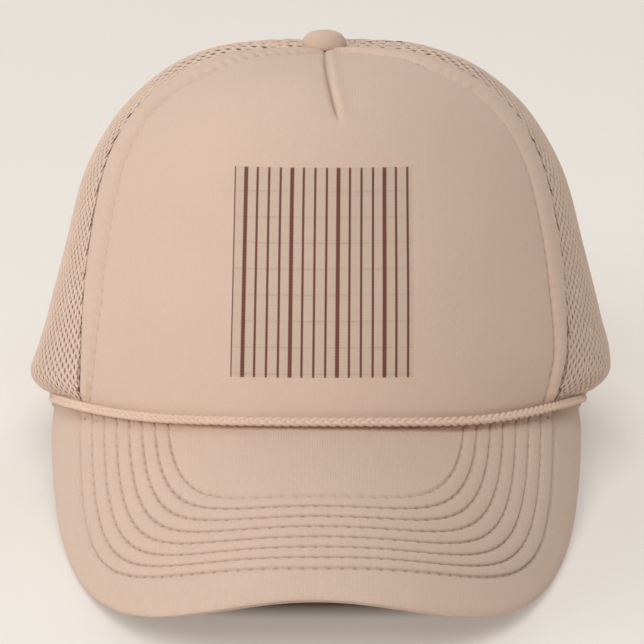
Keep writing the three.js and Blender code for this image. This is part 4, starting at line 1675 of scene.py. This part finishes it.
    def under(self, u: np.ndarray, v: np.ndarray) -> np.ndarray:
        """The lower cloth, which stops just inside the outline."""
        x, y = self.form.plan(u * 0.98, v * 0.975)
        row = self.form.row_at(x, y)
        between = np.abs(row - np.clip(np.round(row), 0, self.form.row_count - 1))
        return self.at(x, y, -self.under_depth + 0.25 * bell(between, 0.14))

    @staticmethod
    def lengths(x: np.ndarray, y: np.ndarray) -> np.ndarray:
        """Millimetres across and along the cloth over a plan point."""
        return np.stack([x * (1 + 0.05 * (x / 60) ** 2), -y * 1.15], -1)

    def upper_cloth(self, u: np.ndarray, v: np.ndarray) -> np.ndarray:
        """Millimetres across and along the upper cloth."""
        i, j = v.astype(int), u.astype(int)
        return self.lengths(self.plan_x[i, j], self.plan_y[i, j])

    def lower_cloth(self, u: np.ndarray, v: np.ndarray) -> np.ndarray:
        """Millimetres across and along the lower cloth."""
        return self.lengths(*self.form.plan(u, v))

    def build(self) -> None:
        """Makes the two cloths and every row of stitches."""
        us, vs = np.arange(self.columns, dtype=float), np.arange(len(self.plan_x), dtype=float)
        top = self.shop.sheet("bill_cover", us, vs, self.place, self.upper_cloth, wall=self.thickness)
        counts = self.stitch_count()
        self.shop.second_map(top, SEAM_UV, us, vs, lambda u, v: np.stack(
            [self.line_rows[v.astype(int)], counts[v.astype(int), u.astype(int)]], -1))
        self.shop.deliver(top, self.finishes.bill, Slot.BILL_CLOTH, "bill_top")
        lower = self.shop.sheet(
            "bill_lower_cloth", np.linspace(-1, 1, 201), np.linspace(0, 1, 61), self.under, self.lower_cloth,
            wall=self.under_thickness, flip=True)
        self.shop.deliver(lower, self.finishes.bill_lower, Slot.BILL_CLOTH, "bill_under")
        self.sew("bill_stitches", 0.12, 1)
        self.sew("bill_stitches_below", -self.under_depth - self.under_thickness - 0.05, -1)

    def sew(self, name: str, rise: float, out: int) -> None:
        """Lays a thread between each two needle holes of every row.

        Args:
            name: The piece's name.
            rise: Where the threads lie over the plain bill.
            out: 1 for the upper face, -1 for the lower one.
        """
        starts, ends, facing = [], [], []
        for line in self.lines:
            for a, b in zip(line, line[1:]):
                pair = np.array([lerp(a, b, 0.1), lerp(a, b, 0.9)])
                x, y = pair[:, 0], pair[:, 1]
                lift = self.relief(x, y).min() + np.full(2, rise) if out > 0 else np.full(2, rise)
                points = self.at(x, y, lift)
                starts.append(points[0])
                ends.append(points[1])
                facing.append(out * self.form.normal(x, y)[0])
        made = self.shop.stitches(name, *map(np.array, (starts, ends, facing)), 0.36, 0.2)
        self.shop.deliver(made, self.finishes.thread, Slot.BILL_CLOTH)


@dataclass
class BillRope:
    """The plaited cord that lies all the way along the corner between the crown and the bill."""

    crown: Crown
    shop: Workshop
    finishes: Finishes
    diameter: float = 2.9
    end_angle: float = math.radians(83)
    gap: float = 0.3
    strand: float = 0.7
    sway: float = 0.8
    weave: float = 0.46
    period: float = 8.4

    def route(self) -> tuple[np.ndarray, np.ndarray]:
        """The cord's middle line and its outward direction."""
        angle = np.linspace(-self.end_angle, self.end_angle, 1201)
        off = self.diameter / 2 + self.gap
        out = unit(self.crown.normal(angle, np.zeros_like(angle)) * (1, 1, 0))
        tucked = 1 - 0.7 * smoothstep(np.abs(angle), 1.3, self.end_angle)
        path = self.crown.point(angle, 0) + out * ((off + 0.1) * tucked)[:, None]
        path[:, 2] += off - 0.2
        return path, unit(out + np.array([0, 0, 0.75]))

    def build(self) -> None:
        """Plaits three strands along the route."""
        line, out = self.route()
        way = run_length(line)
        count = int(way[-1] / 0.52)
        at = np.linspace(0, way[-1], count)
        path = np.stack([np.interp(at, way, line[:, i]) for i in range(3)], -1)
        out = unit(np.stack([np.interp(at, way, out[:, i]) for i in range(3)], -1))
        side = unit(np.cross(unit(np.gradient(path, axis=0)), out))
        taper = np.minimum(np.minimum(at, way[-1] - at) / 1.0, 1) ** 0.5
        for i, word in enumerate(("first", "second", "third")):
            turn = 2 * math.pi * (at / self.period + i / 3)
            strand = path + side * (self.sway * np.sin(turn) * taper)[:, None]
            strand = strand + out * (self.weave * np.sin(2 * turn) * taper)[:, None]
            made = self.shop.tube(f"rope_{word}_strand", strand, out, self.strand * taper, 8)
            self.shop.deliver(made, self.finishes.rope, Slot.ROPE, "bill_rope")


@dataclass
class TopButton:
    """The covered button at the top, with its cloth gathered under its edge."""

    crown: Crown
    shop: Workshop
    finishes: Finishes
    diameter: float = 14.4
    height: float = 6.6
    sunk: float = 0.95
    shank: float = 2.0

    def build(self) -> None:
        """Spins the dome and gathers its edge."""
        radius, base = self.diameter / 2, self.crown.height - self.sunk
        turns = np.linspace(0, math.pi / 2, 15)
        dome = [(radius * math.cos(t) ** 0.75, base + self.height * (0.28 + 0.72 * math.sin(t))) for t in turns]
        dome[-1] = (0.0, base + self.height)
        low = [(self.shank, base - 2.4), (self.shank, base + 0.1), (radius * 0.8, base + 0.15),
               (radius * 0.93, base + 0.4), (radius * 0.985, base + 1.0)]
        button = bmesh.new()
        verts = [button.verts.new((r, 0, z)) for r, z in low + dome]
        edges = [button.edges.new(pair) for pair in zip(verts, verts[1:])]
        bmesh.ops.spin(button, geom=verts + edges, cent=(0, 0, 0), axis=(0, 0, 1), angle=2 * math.pi,
                       steps=72, use_merge=True)
        bmesh.ops.remove_doubles(button, verts=button.verts, dist=1e-4)
        bmesh.ops.holes_fill(button, edges=[e for e in button.edges if e.is_boundary], sides=80)
        bmesh.ops.recalc_face_normals(button, faces=button.faces[:])
        mesh = bpy.data.meshes.new("covered_button")
        button.to_mesh(mesh)
        button.free()
        flat = np.empty(len(mesh.vertices) * 3)
        mesh.vertices.foreach_get("co", flat)
        points = flat.reshape(-1, 3)
        across = np.hypot(points[:, 0], points[:, 1])
        turn = np.arctan2(points[:, 1], points[:, 0])
        low_edge = bell(points[:, 2] - base - 0.6, 0.9) * smoothstep(across, 4, 7)
        points[:, :2] *= (1 + 0.012 * np.cos(turn * 18) * low_edge)[:, None]
        mesh.vertices.foreach_set("co", self.shop.placement.to_part(points).ravel())
        layer = mesh.uv_layers.new(name=UV_NAME)
        corner = np.empty(len(mesh.loops), int)
        mesh.loops.foreach_get("vertex_index", corner)
        layer.uv.foreach_set("vector", points[corner][:, :2].astype(np.float32).ravel())
        self.shop.deliver(self.shop.finish_mesh(mesh), self.finishes.bill_lower, Slot.FOAM_CLOTH, "top_button")


@dataclass
class Studio:
    """The pale floor and backdrop, the soft lights and the camera at the photograph's angle."""

    aim: tuple = (-0.0007, 0.0231, 0.0489)
    elevation: float = math.radians(20.5)
    distance: float = 1.3
    lens: float = 226.0
    sensor: float = 36.0

    def build(self) -> None:
        """Sets up everything that isn't part of the hat."""
        self.backdrop()
        self.light("side", -70, 16, 1.4, 14.5)
        self.light("front", -8, 49, 1.3, 25.0)
        self.light("right", 85, 42, 1.2, 4.6)
        self.light("rear_left", -140, 45, 1.2, 9.0)
        self.light("rear_right", 152, 52, 1.3, 6.0)
        world = bpy.data.worlds.new("studio_air")
        world.use_nodes = True
        sky = world.node_tree.nodes["Background"]
        sky.inputs[0].default_value = linear(240, 236, 230)
        sky.inputs[1].default_value = 0.03
        bpy.context.scene.world = world
        bpy.context.scene.view_settings.view_transform = "Standard"
        self.camera()

    def backdrop(self) -> None:
        """A floor that curves up into a wall behind the hat."""
        grid = bmesh.new()
        bmesh.ops.create_grid(grid, x_segments=2, y_segments=40, size=1.0)
        for vert in grid.verts:
            along = (vert.co.y + 1) / 2
            vert.co = (vert.co.x * 8, *self.sweep(along))
        mesh = bpy.data.meshes.new("studio_sweep")
        grid.to_mesh(mesh)
        grid.free()
        mesh.shade_smooth()
        sweep = bpy.data.objects.new("studio_sweep", mesh)
        bpy.context.scene.collection.objects.link(sweep)
        mesh.materials.append(StudioPaper("studio_paper", linear(213, 209, 203)).build())

    @staticmethod
    def sweep(along: float) -> tuple[float, float]:
        """The backdrop's side outline: floor, cove and wall.

        Args:
            along: From 0 at the front of the floor to 1 at the top of the wall.

        Returns:
            The y and z there, in metres.
        """
        floor, cove, wall = 6.0, 1.2, 3.0
        way = along * (floor + cove * math.pi / 2 + wall)
        back = 3.0
        if way < floor:
            return back - floor + way, 0.0
        turn = (way - floor) / cove
        if turn < math.pi / 2:
            return back + cove * math.sin(turn), cove * (1 - math.cos(turn))
        return back + cove, cove + (turn - math.pi / 2) * cove

    @staticmethod
    def light(name: str, around: float, above: float, size: float, power: float) -> None:
        """An area light that looks at the hat.

        Args:
            name: The light's name.
            around: Degrees round from the camera's side, to the right.
            above: Degrees above the floor.
            size: The width of its square, in metres.
            power: Watts.
        """
        lamp = bpy.data.lights.new(name, "AREA")
        lamp.size = size
        lamp.energy = power
        lamp.color = (1.0, 0.985, 0.965)
        turn, rise = math.radians(around), math.radians(above)
        toward = Vector((math.sin(turn) * math.cos(rise), -math.cos(turn) * math.cos(rise), math.sin(rise)))
        made = bpy.data.objects.new(name, lamp)
        made.location = toward * 2.0 + Vector((0, 0, 0.06))
        made.rotation_euler = (-toward).to_track_quat("-Z", "Y").to_euler()
        bpy.context.scene.collection.objects.link(made)

    def camera(self) -> None:
        """The camera in front of the hat and above it."""
        lens = bpy.data.cameras.new("camera")
        lens.lens = self.lens
        lens.sensor_width = self.sensor
        lens.clip_end = 50
        made = bpy.data.objects.new("camera", lens)
        back = Vector((0, -math.cos(self.elevation), math.sin(self.elevation)))
        made.location = Vector(self.aim) + back * self.distance
        made.rotation_euler = (-back).to_track_quat("-Z", "Y").to_euler()
        bpy.context.scene.collection.objects.link(made)
        bpy.context.scene.camera = made


def main() -> None:
    """Builds the hat's pieces in order, then the studio."""
    logging.basicConfig(level=logging.INFO, format="%(message)s")
    crown = Crown()
    shop = Workshop(Placement.from_record(frame["record"]))
    finishes = Finishes()
    form = BillForm(crown)
    arch = BackArch(crown, shop, finishes)
    FoamPanel(crown, shop, finishes).build()
    Net(crown, shop, finishes, arch).build()
    arch.build()
    Sweatband(crown, shop, finishes, arch).build()
    Bill(form, shop, finishes).build()
    BillRope(crown, shop, finishes).build()
    TopButton(crown, shop, finishes).build()
    Studio().build()


if __name__ == "__main__":
    main()
